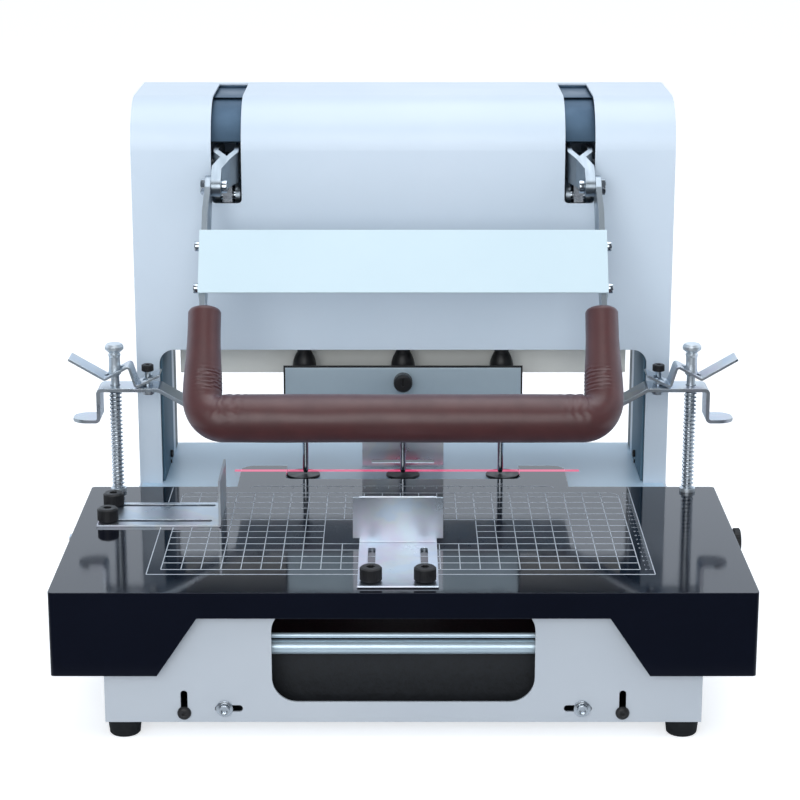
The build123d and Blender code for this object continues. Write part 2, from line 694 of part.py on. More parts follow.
def belt(start, end, level):
    """A flat belt round two equal pulleys."""
    length = math.dist(start, end)
    turn = math.degrees(math.atan2(end[1] - start[1], end[0] - start[0]))
    inner = PULLEY_RADIUS + BELT_GAP
    loop = SlotCenterToCenter(length, 2 * (inner + BELT_SHEET)) - SlotCenterToCenter(length, 2 * inner)
    middle = Pos((start[0] + end[0]) / 2, (start[1] + end[1]) / 2)
    return from_top(middle * Rot(0, 0, turn) * loop, (level, level + BELT_WIDTH))


def belts():
    middle = (0, DRILL_Y)
    ends = ((0, MOTOR_Y), (-DRILL_PITCH, DRILL_Y), (DRILL_PITCH, DRILL_Y))
    return group(belt(middle, end, level) for end, level in zip(ends, BELT_LEVELS))


def spindle(place, levels):
    """Turned spindle: a bell-shaped chuck below, the journal, and the pulley above."""
    x = place * DRILL_PITCH
    low, high = CHUCK_SHOULDER
    neck = (SPINDLE_RADIUS, high + 14)
    bell = ThreePointArc((CHUCK_RADIUS, high), (8.9, high + 8), neck)
    below = Polyline((0, CHUCK_LOW), (SPINDLE_RADIUS, CHUCK_LOW), (CHUCK_RADIUS, low), (CHUCK_RADIUS, high))
    above = Polyline(neck, (SPINDLE_RADIUS, SPINDLE_TOP), (0, SPINDLE_TOP), (0, CHUCK_LOW))
    solid = turned(make_face((below + bell + above).edges()), x, DRILL_Y)
    rims = (BELT_LEVELS[levels[0]] - 0.5, BELT_LEVELS[levels[-1]] + BELT_WIDTH + 0.5)
    solid += upright(PULLEY_RADIUS, x, DRILL_Y, rims)
    return solid - upright(DRILL_RADIUS, x, DRILL_Y, (CHUCK_LOW - 1, DRILL_TOP))


def drill(place):
    """Hollow drill from the pad up into the chuck, ground to a thin edge."""
    edge = DRILL_TIP + 2.5
    outside = (DRILL_RADIUS, DRILL_TOP)
    tube = polygon((DRILL_BORE, DRILL_TIP), (DRILL_RADIUS, edge), outside, (DRILL_BORE, DRILL_TOP))
    return turned(tube, place * DRILL_PITCH, DRILL_Y)


def motor_pulley():
    low = BELT_LEVELS[0]
    high = low + BELT_WIDTH
    solid = upright(MOTOR_SHAFT_RADIUS, 0, MOTOR_Y, (MOTOR_Z[1] - 9, high + 4))
    return solid + upright(PULLEY_RADIUS, 0, MOTOR_Y, (low - 0.5, high + 0.5))


# Presser


def presser_foot():
    depth = PRESSER_Y[1] - PRESSER_Y[0]
    outline = Pos(0, sum(PRESSER_Y) / 2) * RectangleRounded(2 * PRESSER_HALF, depth, 8)
    for place in (-1, 0, 1):
        outline -= Pos(place * DRILL_PITCH, DRILL_Y) * Circle(6)
    return from_top(outline, PRESSER_Z)


def strap():
    """Bent strap from the presser foot, over the rod, to the finger tab."""
    half = STRAP_SHEET / 2
    top = STRAP_TOP - half
    foot = PRESSER_Z[1] + half
    tab_x, tab_z = STRAP_TAB
    line = [
        (tab_x, tab_z), (STRAP_RISER_X, tab_z), (STRAP_RISER_X, top),
        (STRAP_SLOPE_X[0], top), (STRAP_SLOPE_X[1], foot), (STRAP_FOOT_X, foot),
    ]
    solid = from_front(bent_strip(line, STRAP_SHEET, 3), STRAP_Y)
    length = tab_x - STRAP_FOOT_X + STRAP_SHEET
    width = STRAP_Y[1] - STRAP_Y[0]
    plan = Pos((tab_x + STRAP_FOOT_X) / 2, ROD_Y) * SlotOverall(length, width)
    solid = solid & from_top(plan, (PRESSER_Z[0], STRAP_TOP + 5))
    solid -= upright(ROD_RADIUS + 0.8, ROD_X, ROD_Y, (STRAP_TOP - 5, STRAP_TOP + 5))
    return solid - upright(STRAP_SCREW_RADIUS + 0.2, STRAP_SCREW_X, ROD_Y, (STRAP_TOP - 5, STRAP_TOP + 5))


def clamp_rods():
    """Rod with its lower nut and collar, the flared sleeve on top and a mushroom head."""
    outline = polygon(
        (0, ROD_NUT_LOW), (COLLAR_RADIUS, ROD_NUT_LOW), (COLLAR_RADIUS, DECK), (ROD_RADIUS, DECK),
        (ROD_RADIUS, TABLE_TOP), (COLLAR_RADIUS, TABLE_TOP), (COLLAR_RADIUS, SPRING_Z[0]),
        (ROD_RADIUS, SPRING_Z[0]), (ROD_RADIUS, 218), (5.2, 220), (4.6, 228), (4.6, 234), (5.2, 236),
        (4.2, 237.5), (7.65, 240.5), (7.65, ROD_TOP - 2), (6.2, ROD_TOP), (0, ROD_TOP),
    )
    return group(both_sides(turned(outline, ROD_X, ROD_Y)))


def springs():
    """A coil round each rod, between its collar and the strap."""
    rise = SPRING_Z[1] - SPRING_Z[0] - SPRING_WIRE
    foot = Pos(ROD_X, ROD_Y, SPRING_Z[0] + SPRING_WIRE / 2)
    return group(both_sides(foot * coil_spring(SPRING_RADIUS, SPRING_WIRE, rise / SPRING_TURNS)))


def coil_spring(radius, wire, pitch):
    """A wire of a few sides along a helix, each half turn drawn as two tangent arcs."""

    def place(half_turns):
        turn = math.pi * half_turns
        return Vector(radius * math.cos(turn), radius * math.sin(turn), pitch * half_turns / 2)

    def heading(half_turns):
        turn = math.pi * half_turns
        return Vector(-radius * math.sin(turn), radius * math.cos(turn), pitch / (2 * math.pi)).normalized()

    def arc(start, corner, end):
        weight = (corner - start).normalized().dot((end - start).normalized())
        return ThreePointArc(start, (start + corner * (2 * weight) + end) * (1 / (2 + 2 * weight)), end)

    start = place(0) - heading(0) * wire
    edges = [Line(start, place(0))]
    for half_turn in range(2 * SPRING_TURNS):
        first, second = place(half_turn), place(half_turn + 1)
        leaving, arriving = heading(half_turn), heading(half_turn + 1)
        chord = second - first
        spread = 2 * (1 - leaving.dot(arriving))
        lean = chord.dot(leaving + arriving)
        reach = (math.sqrt(lean ** 2 + spread * chord.dot(chord)) - lean) / spread
        joint = (first + leaving * reach + second - arriving * reach) * 0.5
        edges += [arc(first, first + leaving * reach, joint), arc(joint, second - arriving * reach, second)]
    top = place(2 * SPRING_TURNS)
    edges.append(Line(top, top + heading(2 * SPRING_TURNS) * wire))
    print("spring: least gap between turns", round(spring_gap(radius, wire, pitch), 2), "mm")
    section = Plane(origin=start, z_dir=heading(0)) * RegularPolygon(wire / 2, WIRE_SIDES)
    return sweep(section, path=Wire(edges))


def spring_gap(radius, wire, pitch):
    """The least distance between a point of the coil and the next turns, less the wire."""
    steps = 48
    points = []
    for step in range(2 * steps + 1):
        turn = 2 * math.pi * step / steps
        points.append(Vector(radius * math.cos(turn), radius * math.sin(turn), pitch * step / steps))
    return min((points[step] - points[0]).length for step in range(steps // 2, len(points))) - wire


def strap_screws():
    """Cap screw through each strap with its nut beneath."""
    low, seat, top = STRAP_SCREW_Z
    screw = upright(STRAP_SCREW_RADIUS, STRAP_SCREW_X, ROD_Y, (low, seat))
    screw += upright(3.8, STRAP_SCREW_X, ROD_Y, (STRAP_TOP, STRAP_TOP + 2))
    screw += upright(4.6, STRAP_SCREW_X, ROD_Y, (seat, top))
    nut = Plane(origin=(STRAP_SCREW_X, ROD_Y, low)) * RegularPolygon(5, 6)
    return group(both_sides(screw + extrude(nut, STRAP_TOP - STRAP_SHEET - low)))


def guard_plate():
    """Galvanised plate in front of the drills, with a flange on the presser foot."""
    sheet = COVER_SHEET
    guard = block((-GUARD_HALF, GUARD_HALF), (GUARD_Y, GUARD_Y + sheet), (PRESSER_Z[1], GUARD_TOP))
    guard += block((-GUARD_HALF, GUARD_HALF), (GUARD_Y - 10, GUARD_Y), (PRESSER_Z[1], PRESSER_Z[1] + sheet))
    return guard - along(KNOB_STEM + 0.08, 0, (GUARD_Y - 5, GUARD_Y + 5), KNOB_Z)


def guard_backing():
    """Black backing that shows past the plate's top and ends."""
    low = GUARD_Y + COVER_SHEET
    half = GUARD_HALF + COVER_SHEET
    backing = block((-half, half), (low, low + COVER_SHEET), (PRESSER_Z[1], GUARD_TOP + COVER_SHEET))
    return backing - along(KNOB_STEM + 0.08, 0, (low - 5, low + 5), KNOB_Z)


def guard_knob():
    front = GUARD_Y - 11
    knob = along(7.5, 0, (front, GUARD_Y - 0.3), KNOB_Z)
    knob = fillet(knob.faces().sort_by(Axis.Y)[0].edges(), 2)
    knob += along(KNOB_STEM, 0, (GUARD_Y - 0.3, GUARD_Y + 6), KNOB_Z)
    slot = Pos(0, KNOB_Z + 1) * SlotOverall(7, 2.2, rotation=90)
    return knob - from_front(slot, (front - 1, front + 2))


def lock_lever():
    """Gull-winged locking lever that rocks on the strap; the rod and the cap screw pass through it."""
    through = (STRAP_TOP - 5, ROD_TOP)
    solid = from_front(bent_strip(LOCK_LINE, LOCK_SHEET, 2), LOCK_Y)
    solid -= from_top(Pos(ROD_X, ROD_Y) * SlotCenterToCenter(4, 12.8), through)
    return solid - upright(4.6, STRAP_SCREW_X, ROD_Y, through)


# Stops


def thumb_screw_places():
    """Where each thumb screw stands on the table."""
    return {
        "thumb_screw_stop_left": (FRONT_SCREW_X[0], FRONT_SCREW_Y),
        "thumb_screw_stop_right": (FRONT_SCREW_X[1], FRONT_SCREW_Y),
        "thumb_screw_fence_front": (FENCE_SCREW_X, FENCE_SCREW_Y[0]),
        "thumb_screw_fence_rear": (FENCE_SCREW_X, FENCE_SCREW_Y[1]),
    }


def thumb_screw(x, y):
    head = upright(THUMB_RADIUS, x, y, THUMB_Z)
    head = chamfer(head.edges().filter_by(GeomType.CIRCLE), 1)
    socket = Plane(origin=(x, y, THUMB_Z[1] - 4)) * RegularPolygon(3.4, 6)
    head -= extrude(socket, 5)
    return head + upright(THUMB_STEM, x, y, (DECK + 0.2, THUMB_Z[0]))


def front_stop():
    """Angle plate that slides to and fro; two slots run past its screws."""
    low = TABLE_TOP + PLATE / 2
    back = FRONT_STOP_Y[1] - PLATE / 2
    line = [(FRONT_STOP_Y[0], low), (back, low), (back, STOP_TOP)]
    solid = from_side(bent_strip(line, PLATE, 1.6), FRONT_STOP_X)
    wide = (FRONT_STOP_X[0] - 5, FRONT_STOP_X[1] + 5)
    solid += block(wide, (FRONT_STOP_Y[1] - PLATE, FRONT_STOP_Y[1]), (TABLE_TOP + 5, STOP_TOP))
    middle = FRONT_SCREW_Y + (FRONT_STOP_TRAVEL - GUIDE_SLOT_START) / 2
    for x in FRONT_SCREW_X:
        slot = Pos(x, middle) * SlotOverall(FRONT_STOP_TRAVEL + GUIDE_SLOT_START, GUIDE_SLOT, rotation=90)
        solid -= from_top(slot, (TABLE_TOP - 1, TABLE_TOP + PLATE + 1))
    return solid


def side_fence():
    """Angle plate that slides left and right on the table."""
    low = TABLE_TOP + PLATE / 2
    right = FENCE_X[1] - PLATE / 2
    line = [(FENCE_X[0], low), (right, low), (right, STOP_TOP)]
    solid = from_front(bent_strip(line, PLATE, 1.6), FENCE_Y)
    middle = FENCE_SCREW_X + (FENCE_TRAVEL - GUIDE_SLOT_START) / 2
    for y in FENCE_SCREW_Y:
        slot = Pos(middle, y) * SlotOverall(FENCE_TRAVEL + GUIDE_SLOT_START, GUIDE_SLOT)
        solid -= from_top(slot, (TABLE_TOP - 1, TABLE_TOP + PLATE + 1))
    return solid


def table_knob():
    """Wing knob on the right apron."""
    knob = across(10.5, (TABLE_HALF + 5, TABLE_HALF + 11), SIDE_KNOB_Y, SIDE_KNOB_Z)
    knob = fillet(knob.edges().filter_by(GeomType.CIRCLE), 1.5)
    knob += across(6, (TABLE_HALF, TABLE_HALF + 5), SIDE_KNOB_Y, SIDE_KNOB_Z)
    return knob + across(SIDE_STEM_RADIUS, (TABLE_HALF - 7, TABLE_HALF), SIDE_KNOB_Y, SIDE_KNOB_Z)


pieces = {
    "base_shell": base_shell(),
    "front_panel": front_panel(),
    "rubber_feet": rubber_feet(),
    "case_screws": case_screws(),
    "window_bars": window_bars(),
    "chip_tray": chip_tray(),
    "table": table(),
    "cutting_pads": cutting_pads(),
    "rear_stop": rear_stop(),
    "front_cover": front_cover(),
    "back_cover": back_cover(),
    "shaft_bearings": shaft_bearings(),
    "head_ties": head_ties(),
    "guide_rods": guide_rods(),
    "laser_module": laser_module(),
    "handle_shaft": handle_shaft(),
    "slot_shutters": slot_shutters(),
    "cross_plate": cross_plate(),
    "handle_pins_and_bolts": handle_pins_and_bolts(),
    "grip_core": grip_core(),
    "grip": grip(),
    "spindle_beam": spindle_beam(),
    "lift_lugs": lift_lugs(),
    "guide_bushes": guide_bushes(),
    "motor": motor(),
    "belts": belts(),
    "motor_pulley": motor_pulley(),
    "presser_foot": presser_foot(),
    "clamp_rods": clamp_rods(),
    "springs": springs(),
    "strap_screws": strap_screws(),
    "guard_plate": guard_plate(),
    "guard_backing": guard_backing(),
    "guard_knob": guard_knob(),
    "front_stop": front_stop(),
    "side_fence": side_fence(),
    "table_knob": table_knob(),
}
for name, right_piece in {
    "side_panel": side_panel(),
    "side_frame": side_frame(),
    "lever": lever(),
    "handle_arm": handle_arm(),
    "strap": strap(),
    "lock_lever": lock_lever(),
}.items():
    pieces[name + "_right"] = right_piece
    pieces[name + "_left"] = mirror(right_piece, Plane.YZ)
for name, place, levels in (("left", -1, (1,)), ("middle", 0, (0, 1, 2)), ("right", 1, (2,))):
    pieces["spindle_" + name] = spindle(place, levels)
    pieces["drill_" + name] = drill(place)
for name, (x, y) in thumb_screw_places().items():
    pieces[name] = thumb_screw(x, y)

for name, piece in pieces.items():
    export_step(piece, "parts/" + name + ".step")
print(len(pieces), "nodes written")
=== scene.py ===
# %% [markdown]
# # A tube rivet binding machine
# A bench machine with a folded white head, a black table and a brown padded handle. The solids come
# packed as a fixed frame. This lesson gives them their finishes and adds what solids leave plain:
# the padded grip, the wound springs, the printed grid, knurls and sockets. Lengths are written in
# millimetres and made metres.

# %% Frame and camera
import math

import bmesh
import bpy
from mathutils import Matrix, Vector, noise


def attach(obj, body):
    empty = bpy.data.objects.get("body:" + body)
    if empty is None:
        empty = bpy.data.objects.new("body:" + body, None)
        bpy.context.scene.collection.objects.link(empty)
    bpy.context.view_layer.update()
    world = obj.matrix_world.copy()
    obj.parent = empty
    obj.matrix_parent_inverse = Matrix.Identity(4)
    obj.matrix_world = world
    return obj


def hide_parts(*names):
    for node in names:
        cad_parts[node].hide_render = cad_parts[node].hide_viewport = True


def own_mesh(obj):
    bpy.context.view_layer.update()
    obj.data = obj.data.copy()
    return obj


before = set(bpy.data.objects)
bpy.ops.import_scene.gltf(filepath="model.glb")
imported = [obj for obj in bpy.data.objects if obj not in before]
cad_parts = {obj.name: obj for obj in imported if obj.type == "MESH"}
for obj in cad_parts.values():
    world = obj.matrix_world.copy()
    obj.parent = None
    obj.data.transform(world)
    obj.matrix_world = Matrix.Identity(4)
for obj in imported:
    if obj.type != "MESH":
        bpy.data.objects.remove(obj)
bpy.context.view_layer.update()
scene = bpy.context.scene
scene.view_settings.view_transform = "Standard"
MM = 0.001

camera_data = bpy.data.cameras.new("camera")
camera_data.lens = 104.8
camera_data.sensor_width = 36
CAMERA_PLACE = Vector((-2.5, -1803.2, 700))
CAMERA_PITCH = 15.2
camera = bpy.data.objects.new("camera", camera_data)
camera.location = CAMERA_PLACE * MM
camera.rotation_euler = (math.radians(90 - CAMERA_PITCH), 0, 0)
scene.collection.objects.link(camera)
scene.camera = camera

# %% [markdown]
# ## Colours and shader groups
# Colours are written as they look on a screen and turned into the linear values that the renderer
# wants. Powder coat, sheet steel and moulded plastic share three effects, so each is a node group:
# softened edges, a fine grain for the bump, and slow blotches for colour and roughness. The
# Principled shader stays in each material.


# %% Colour and node helpers
def colour(red, green, blue):
    """Screen values from 0 to 255 as linear colour."""
    def linear(value):
        value = value / 255
        return value / 12.92 if value <= 0.04045 else ((value + 0.055) / 1.055) ** 2.4
    return (linear(red), linear(green), linear(blue), 1)


def put(tree, value, socket):
    """Links another node's output to an input, or sets the input to a plain value."""
    if isinstance(value, bpy.types.NodeSocket):
        tree.links.new(value, socket)
    else:
        socket.default_value = value


def add(tree, kind, settings=None, **inputs):
    """A node with its properties; each input is a value or another node's output."""
    made = tree.nodes.new(kind)
    for name, value in (settings or {}).items():
        setattr(made, name, value)
    for name, value in inputs.items():
        put(tree, value, made.inputs[name.replace("_", " ")])
    return made


def pair(tree, kind, operation, first, second):
    """A node that works on two values or vectors."""
    made = add(tree, kind, {"operation": operation})
    put(tree, first, made.inputs[0])
    put(tree, second, made.inputs[1])
    return made


def product(tree, first, second):
    return pair(tree, "ShaderNodeMath", "MULTIPLY", first, second).outputs[0]


def mix_colours(tree, factor, first, second):
    made = add(tree, "ShaderNodeMix", {"data_type": "RGBA"}, Factor=factor)
    put(tree, first, made.inputs[6])
    put(tree, second, made.inputs[7])
    return made.outputs[2]


def mix_numbers(tree, factor, first, second):
    made = add(tree, "ShaderNodeMix", {"data_type": "FLOAT"}, Factor=factor)
    put(tree, first, made.inputs[2])
    put(tree, second, made.inputs[3])
    return made.outputs[0]


def split_place(tree, kind):
    """The X, Y and Z of a texture coordinate."""
    where = add(tree, "ShaderNodeTexCoord")
    return add(tree, "ShaderNodeSeparateXYZ", Vector=where.outputs[kind]).outputs


def group(name, inputs, outputs):
    """An empty shader group; sockets are (name, type, default)."""
    tree = bpy.data.node_groups.new(name, "ShaderNodeTree")
    for title, kind, value in inputs:
        tree.interface.new_socket(name=title, in_out="INPUT", socket_type=kind).default_value = value
    for title, kind in outputs:
        tree.interface.new_socket(name=title, in_out="OUTPUT", socket_type=kind)
    return tree, tree.nodes.new("NodeGroupInput"), tree.nodes.new("NodeGroupOutput")


NUMBER = "NodeSocketFloat"
VECTOR = "NodeSocketVector"


# %% Shared shader groups
def make_soft_edge():
    """Rounded normals along sharp edges, and a mask that is 1 on them."""
    outputs = [("Normal", VECTOR), ("Edge", NUMBER)]
    tree, given, result = group("soft_edge", [("Radius", NUMBER, 0.6 * MM)], outputs)
    bevel = add(tree, "ShaderNodeBevel", {"samples": 4}, Radius=given.outputs["Radius"])
    round_normal = bevel.outputs["Normal"]
    flat_normal = add(tree, "ShaderNodeNewGeometry").outputs["Normal"]
    dot = pair(tree, "ShaderNodeVectorMath", "DOT_PRODUCT", round_normal, flat_normal)
    ramp = add(tree, "ShaderNodeMapRange", Value=dot.outputs["Value"],
               From_Min=0.99, From_Max=0.8, To_Min=0.0, To_Max=1.0)
    put(tree, round_normal, result.inputs["Normal"])
    put(tree, ramp.outputs["Result"], result.inputs["Edge"])
    return tree


def texture_place(tree, given):
    """Object coordinates, stretched along an axis where asked, and the group's scale."""
    place = add(tree, "ShaderNodeTexCoord").outputs["Object"]
    scaled = pair(tree, "ShaderNodeVectorMath", "MULTIPLY", place, given.outputs["Stretch"])
    return {"Vector": scaled.outputs["Vector"], "Scale": given.outputs["Scale"]}


def make_blotch():
    """Slow and fine noise in one value from 0 to 1."""
    inputs = [("Scale", NUMBER, 30.0), ("Stretch", VECTOR, (1, 1, 1))]
    tree, given, result = group("blotch", inputs, [("Value", NUMBER)])
    cloud = add(tree, "ShaderNodeTexNoise", Detail=4.0, Roughness=0.6, **texture_place(tree, given))
    spread = add(tree, "ShaderNodeMapRange", Value=cloud.outputs["Fac"], From_Min=0.3, From_Max=0.7)
    put(tree, spread.outputs["Result"], result.inputs["Value"])
    return tree


def make_grain():
    """Height of a fine surface: orange peel, casting skin, brushing or leather pores."""
    inputs = [("Scale", NUMBER, 900.0), ("Stretch", VECTOR, (1, 1, 1)), ("Cells", NUMBER, 0.0)]
    tree, given, result = group("grain", inputs, [("Height", NUMBER)])
    place = texture_place(tree, given)
    fine = add(tree, "ShaderNodeTexNoise", Detail=3.0, **place)
    cells = add(tree, "ShaderNodeTexVoronoi", **place)
    height = mix_numbers(tree, given.outputs["Cells"], fine.outputs["Fac"], cells.outputs["Distance"])
    put(tree, height, result.inputs["Height"])
    return tree


SOFT_EDGE = make_soft_edge()
BLOTCH = make_blotch()
GRAIN = make_grain()
print("shader groups:", SOFT_EDGE.name, BLOTCH.name, GRAIN.name)


# %% [markdown]
# ## One recipe, many finishes
# A finish is its two colours that blotches mix, its roughness range, the bump of its grain, and how
# its edges wear: paint thins and lightens there, plastic polishes; on the blue-grey shutter the darker
# edge colour is painted shade. Metal is the same recipe with Metallic at 1 and stretched grain, which
# reads as brushing. Gloss that is the same all over sits on the shader's own sockets.


# %% The recipe
def place_group(tree, shared, **inputs):
    return add(tree, "ShaderNodeGroup", {"node_tree": shared}, **inputs)


def finish(name, tone, other, rough, metal=0.0, blotch=30.0, grain=900.0, depth=0.1, cells=0.0,
           stretch=(1, 1, 1), edge=0.6, edge_wear_and_shade=None, coat=0.0, coat_rough=0.05, sheen=0.0,
           sheen_tint=(1, 1, 1, 1)):
    """Two screen colours with blotches, grain and soft edges; depth is in tenths of a millimetre."""
    material = bpy.data.materials.new(name)
    material.use_nodes = True
    tree = material.node_tree
    cloud = place_group(tree, BLOTCH, Scale=blotch, Stretch=stretch).outputs["Value"]
    base = mix_colours(tree, cloud, colour(*tone), colour(*other))
    base.node.name = "base"
    gloss = add(tree, "ShaderNodeMapRange", Value=cloud, To_Min=rough[0], To_Max=rough[1])
    rim = place_group(tree, SOFT_EDGE, Radius=edge * MM)
    skin = place_group(tree, GRAIN, Scale=grain, Stretch=stretch, Cells=cells)
    bump = add(tree, "ShaderNodeBump", Strength=0.5, Distance=depth * MM / 10,
               Height=skin.outputs["Height"], Normal=rim.outputs["Normal"])
    settings = {
        "Base Color": mix_colours(tree, rim.outputs["Edge"], base, colour(*(edge_wear_and_shade or tone))),
        "Metallic": metal,
        "Roughness": gloss.outputs["Result"],
        "Normal": bump.outputs["Normal"],
        "Coat Weight": coat,
        "Coat Roughness": coat_rough,
        "Sheen Weight": sheen,
        "Sheen Tint": sheen_tint,
    }
    for socket, value in settings.items():
        put(tree, value, tree.nodes["Principled BSDF"].inputs[socket])
    return material


# %% The machine's finishes
COVER_PAINT = finish("cover_paint", (212, 224, 236), (204, 218, 231), (0.3, 0.4),
                     blotch=4, grain=700, depth=0.5, edge_wear_and_shade=(232, 240, 246))
PANEL_GREY = finish("panel_grey", (188, 194, 201), (181, 188, 196), (0.34, 0.44),
                    blotch=5, grain=700, depth=0.5, edge_wear_and_shade=(214, 220, 226))
# Painted shade: this paint is darkened to stand for the shade on the columns' inner faces.
FRAME_PAINT_SHADED = finish("frame_paint", (90, 124, 144), (82, 114, 134), (0.58, 0.72),
                     blotch=9, grain=700, depth=0.5, edge_wear_and_shade=(140, 164, 180))
BEAM_PAINT = finish("beam_paint", (250, 250, 244), (243, 244, 238), (0.4, 0.5),
                    blotch=12, grain=700, depth=0.5, edge_wear_and_shade=(252, 252, 248))
# Painted shade: a darker grey for the back band inside each column.
LINING_SHADE = finish("lining_painted_shade", (84, 98, 106), (72, 86, 94), (0.4, 0.55),
                     blotch=30, grain=700, depth=0.5, edge_wear_and_shade=(120, 134, 142))
PLATE_PAINT = finish("cross_plate_paint", (207, 225, 232), (202, 221, 229), (0.28, 0.36),
                     blotch=6, grain=500, depth=0.2, edge_wear_and_shade=(222, 236, 242))
TABLE_BLACK = finish("table_black", (15, 19, 32), (17, 21, 35), (0.05, 0.1), metal=0.4,
                     blotch=14, grain=260, depth=0.2, edge=0.9, edge_wear_and_shade=(28, 36, 52))
TRAY_CHARCOAL = finish("tray_charcoal", (18, 21, 26), (32, 36, 42), (0.5, 0.7),
                       blotch=420, grain=500, depth=2.0)
# Its darker edge colour is painted shade along the shutter's edges.
SHUTTER_BLUE = finish("shutter_blue", (73, 97, 119), (62, 86, 108), (0.35, 0.5), metal=0.6,
                      blotch=30, grain=900, depth=0.4, edge_wear_and_shade=(60, 72, 90))
ZINC = finish("zinc", (184, 196, 206), (188, 197, 206), (0.24, 0.36), metal=1.0,
              blotch=30, grain=1200, depth=0.08, edge_wear_and_shade=(222, 230, 236))
GUARD_ZINC = finish("guard_zinc", (204, 223, 234), (194, 213, 225), (0.28, 0.38), metal=0.5,
                    blotch=14, grain=1200, depth=0.08, edge_wear_and_shade=(220, 232, 240))
STEEL = finish("steel", (178, 182, 188), (158, 163, 170), (0.2, 0.34), metal=1.0,
               blotch=60, grain=1500, depth=0.3, stretch=(1, 1, 6), edge_wear_and_shade=(220, 224, 230))
ARM_STEEL = finish("arm_steel", (158, 168, 176), (146, 156, 165), (0.28, 0.4), metal=1.0,
                   blotch=40, grain=1300, depth=0.2, stretch=(6, 1, 1), edge_wear_and_shade=(214, 222, 228))
PALE_SATIN = finish("pale_satin", (214, 222, 228), (200, 210, 218), (0.3, 0.42), metal=0.75,
                    blotch=70, grain=1300, depth=0.25, edge_wear_and_shade=(232, 238, 242))
CHROME = finish("chrome", (204, 212, 220), (192, 201, 210), (0.1, 0.18), metal=1.0,
                blotch=80, grain=1200, depth=0.05, edge_wear_and_shade=(230, 236, 240))
BLACK_PLASTIC = finish("black_plastic", (20, 20, 22), (28, 28, 31), (0.38, 0.55),
                       blotch=160, grain=1600, depth=0.6, edge_wear_and_shade=(52, 53, 56))
RUBBER = finish("rubber_black", (6, 10, 15), (10, 15, 20), (0.78, 0.92),
                blotch=120, grain=1400, depth=1.0, edge_wear_and_shade=(24, 28, 33))
GRIP_BROWN = finish("grip_brown", (84, 44, 43), (74, 37, 37), (0.36, 0.48),
                    blotch=60, grain=1500, depth=1.0, cells=0.6, coat=0.25, coat_rough=0.32,
                    sheen=0.18, sheen_tint=(0.72, 0.8, 1, 1))
BRONZE = finish("bronze", (176, 140, 92), (158, 122, 78), (0.3, 0.45), metal=1.0,
                blotch=60, depth=0.4)
MOTOR_GREY = finish("motor_grey", (92, 96, 102), (80, 84, 90), (0.45, 0.6), blotch=90, depth=0.8)
WHITE_INK = finish("white_ink", (214, 222, 230), (190, 200, 212), (0.35, 0.5), blotch=300, depth=0.1)
print("finishes:", len(bpy.data.materials))

# %% [markdown]
# ## What one flat recipe can't say
# Some finishes vary by place. Passivated zinc plate shows faint rainbow patches. The base cabinet
# has painted light on its deck, a paler blue top where the sky falls, and painted shade inside, and
# the rear stop has painted shade behind its slot. The red line that the lamp under the head draws
# where the drills come down is painted light: the deck, the table and the pads glow there. Each is
# a mask on Object coordinates, which stay put in every view.


# %% Finishes that vary by place
def make_band():
    """1 where one coordinate lies between two values."""
    inputs = [("Value", NUMBER, 0.0), ("Low", NUMBER, 0.0), ("High", NUMBER, 1.0)]
    tree, given, result = group("band", inputs, [("Mask", NUMBER)])
    value = given.outputs["Value"]
    above = pair(tree, "ShaderNodeMath", "GREATER_THAN", value, given.outputs["Low"])
    below = pair(tree, "ShaderNodeMath", "LESS_THAN", value, given.outputs["High"])
    put(tree, product(tree, above.outputs[0], below.outputs[0]), result.inputs["Mask"])
    return tree


BAND = make_band()


def box_mask(tree, box):
    """A mask that is 1 inside a box, given by its low and high corners in millimetres."""
    masks = []
    for value, low, high in zip(split_place(tree, "Object"), *box):
        band = place_group(tree, BAND, Value=value, Low=low * MM, High=high * MM)
        masks.append(band.outputs["Mask"])
    return product(tree, product(tree, masks[0], masks[1]), masks[2])


LINE_X = (-144.6, 151.5)
LINE_HALF = 3.1
LINE_Z = (100, 122)


def with_laser_line(material, name, y):
    """A copy of a finish with the lamp's red line painted on it as a glow at depth y."""
    lit = material.copy()
    lit.name = name
    tree = lit.node_tree
    shader = tree.nodes["Principled BSDF"]
    box = ((LINE_X[0], y - LINE_HALF, LINE_Z[0]), (LINE_X[1], y + LINE_HALF, LINE_Z[1]))
    mask = box_mask(tree, box)
    # Painted light: the red line glows as emission and darkens the base colour under it.
    glow = mix_colours(tree, mask, (0, 0, 0, 1), colour(208, 46, 104))
    put(tree, glow, shader.inputs["Emission Color"])
    shader.inputs["Emission Strength"].default_value = 1.0
    painted = shader.inputs["Base Color"].links[0].from_socket
    put(tree, mix_colours(tree, mask, painted, colour(40, 4, 16)), shader.inputs["Base Color"])
    return lit


def with_paint_inside(material, name, box, paint):
    """A copy of a finish that turns to another colour inside a box, for painted shade and painted
    light.
    """
    lined = material.copy()
    lined.name = name
    tree = lined.node_tree
    base = tree.nodes["Principled BSDF"].inputs["Base Color"]
    put(tree, mix_colours(tree, box_mask(tree, box), base.links[0].from_socket, paint), base)
    return lined


def with_rainbow(material):
    """Faint pink, blue and straw patches over a plated sheet."""
    tree = material.node_tree
    patches = place_group(tree, BLOTCH, Scale=22.0, Stretch=(1, 1, 1))
    ramp = add(tree, "ShaderNodeValToRGB", Fac=patches.outputs["Value"])
    ramp.color_ramp.elements[0].color = colour(180, 194, 205)
    ramp.color_ramp.elements[1].color = colour(184, 196, 205)
    shades = ((0.35, (193, 189, 202)), (0.55, (192, 197, 199)), (0.7, (182, 194, 208)))
    for position, shade in shades:
        ramp.color_ramp.elements.new(position).color = colour(*shade)
    put(tree, ramp.outputs["Color"], tree.nodes["base"].inputs[7])


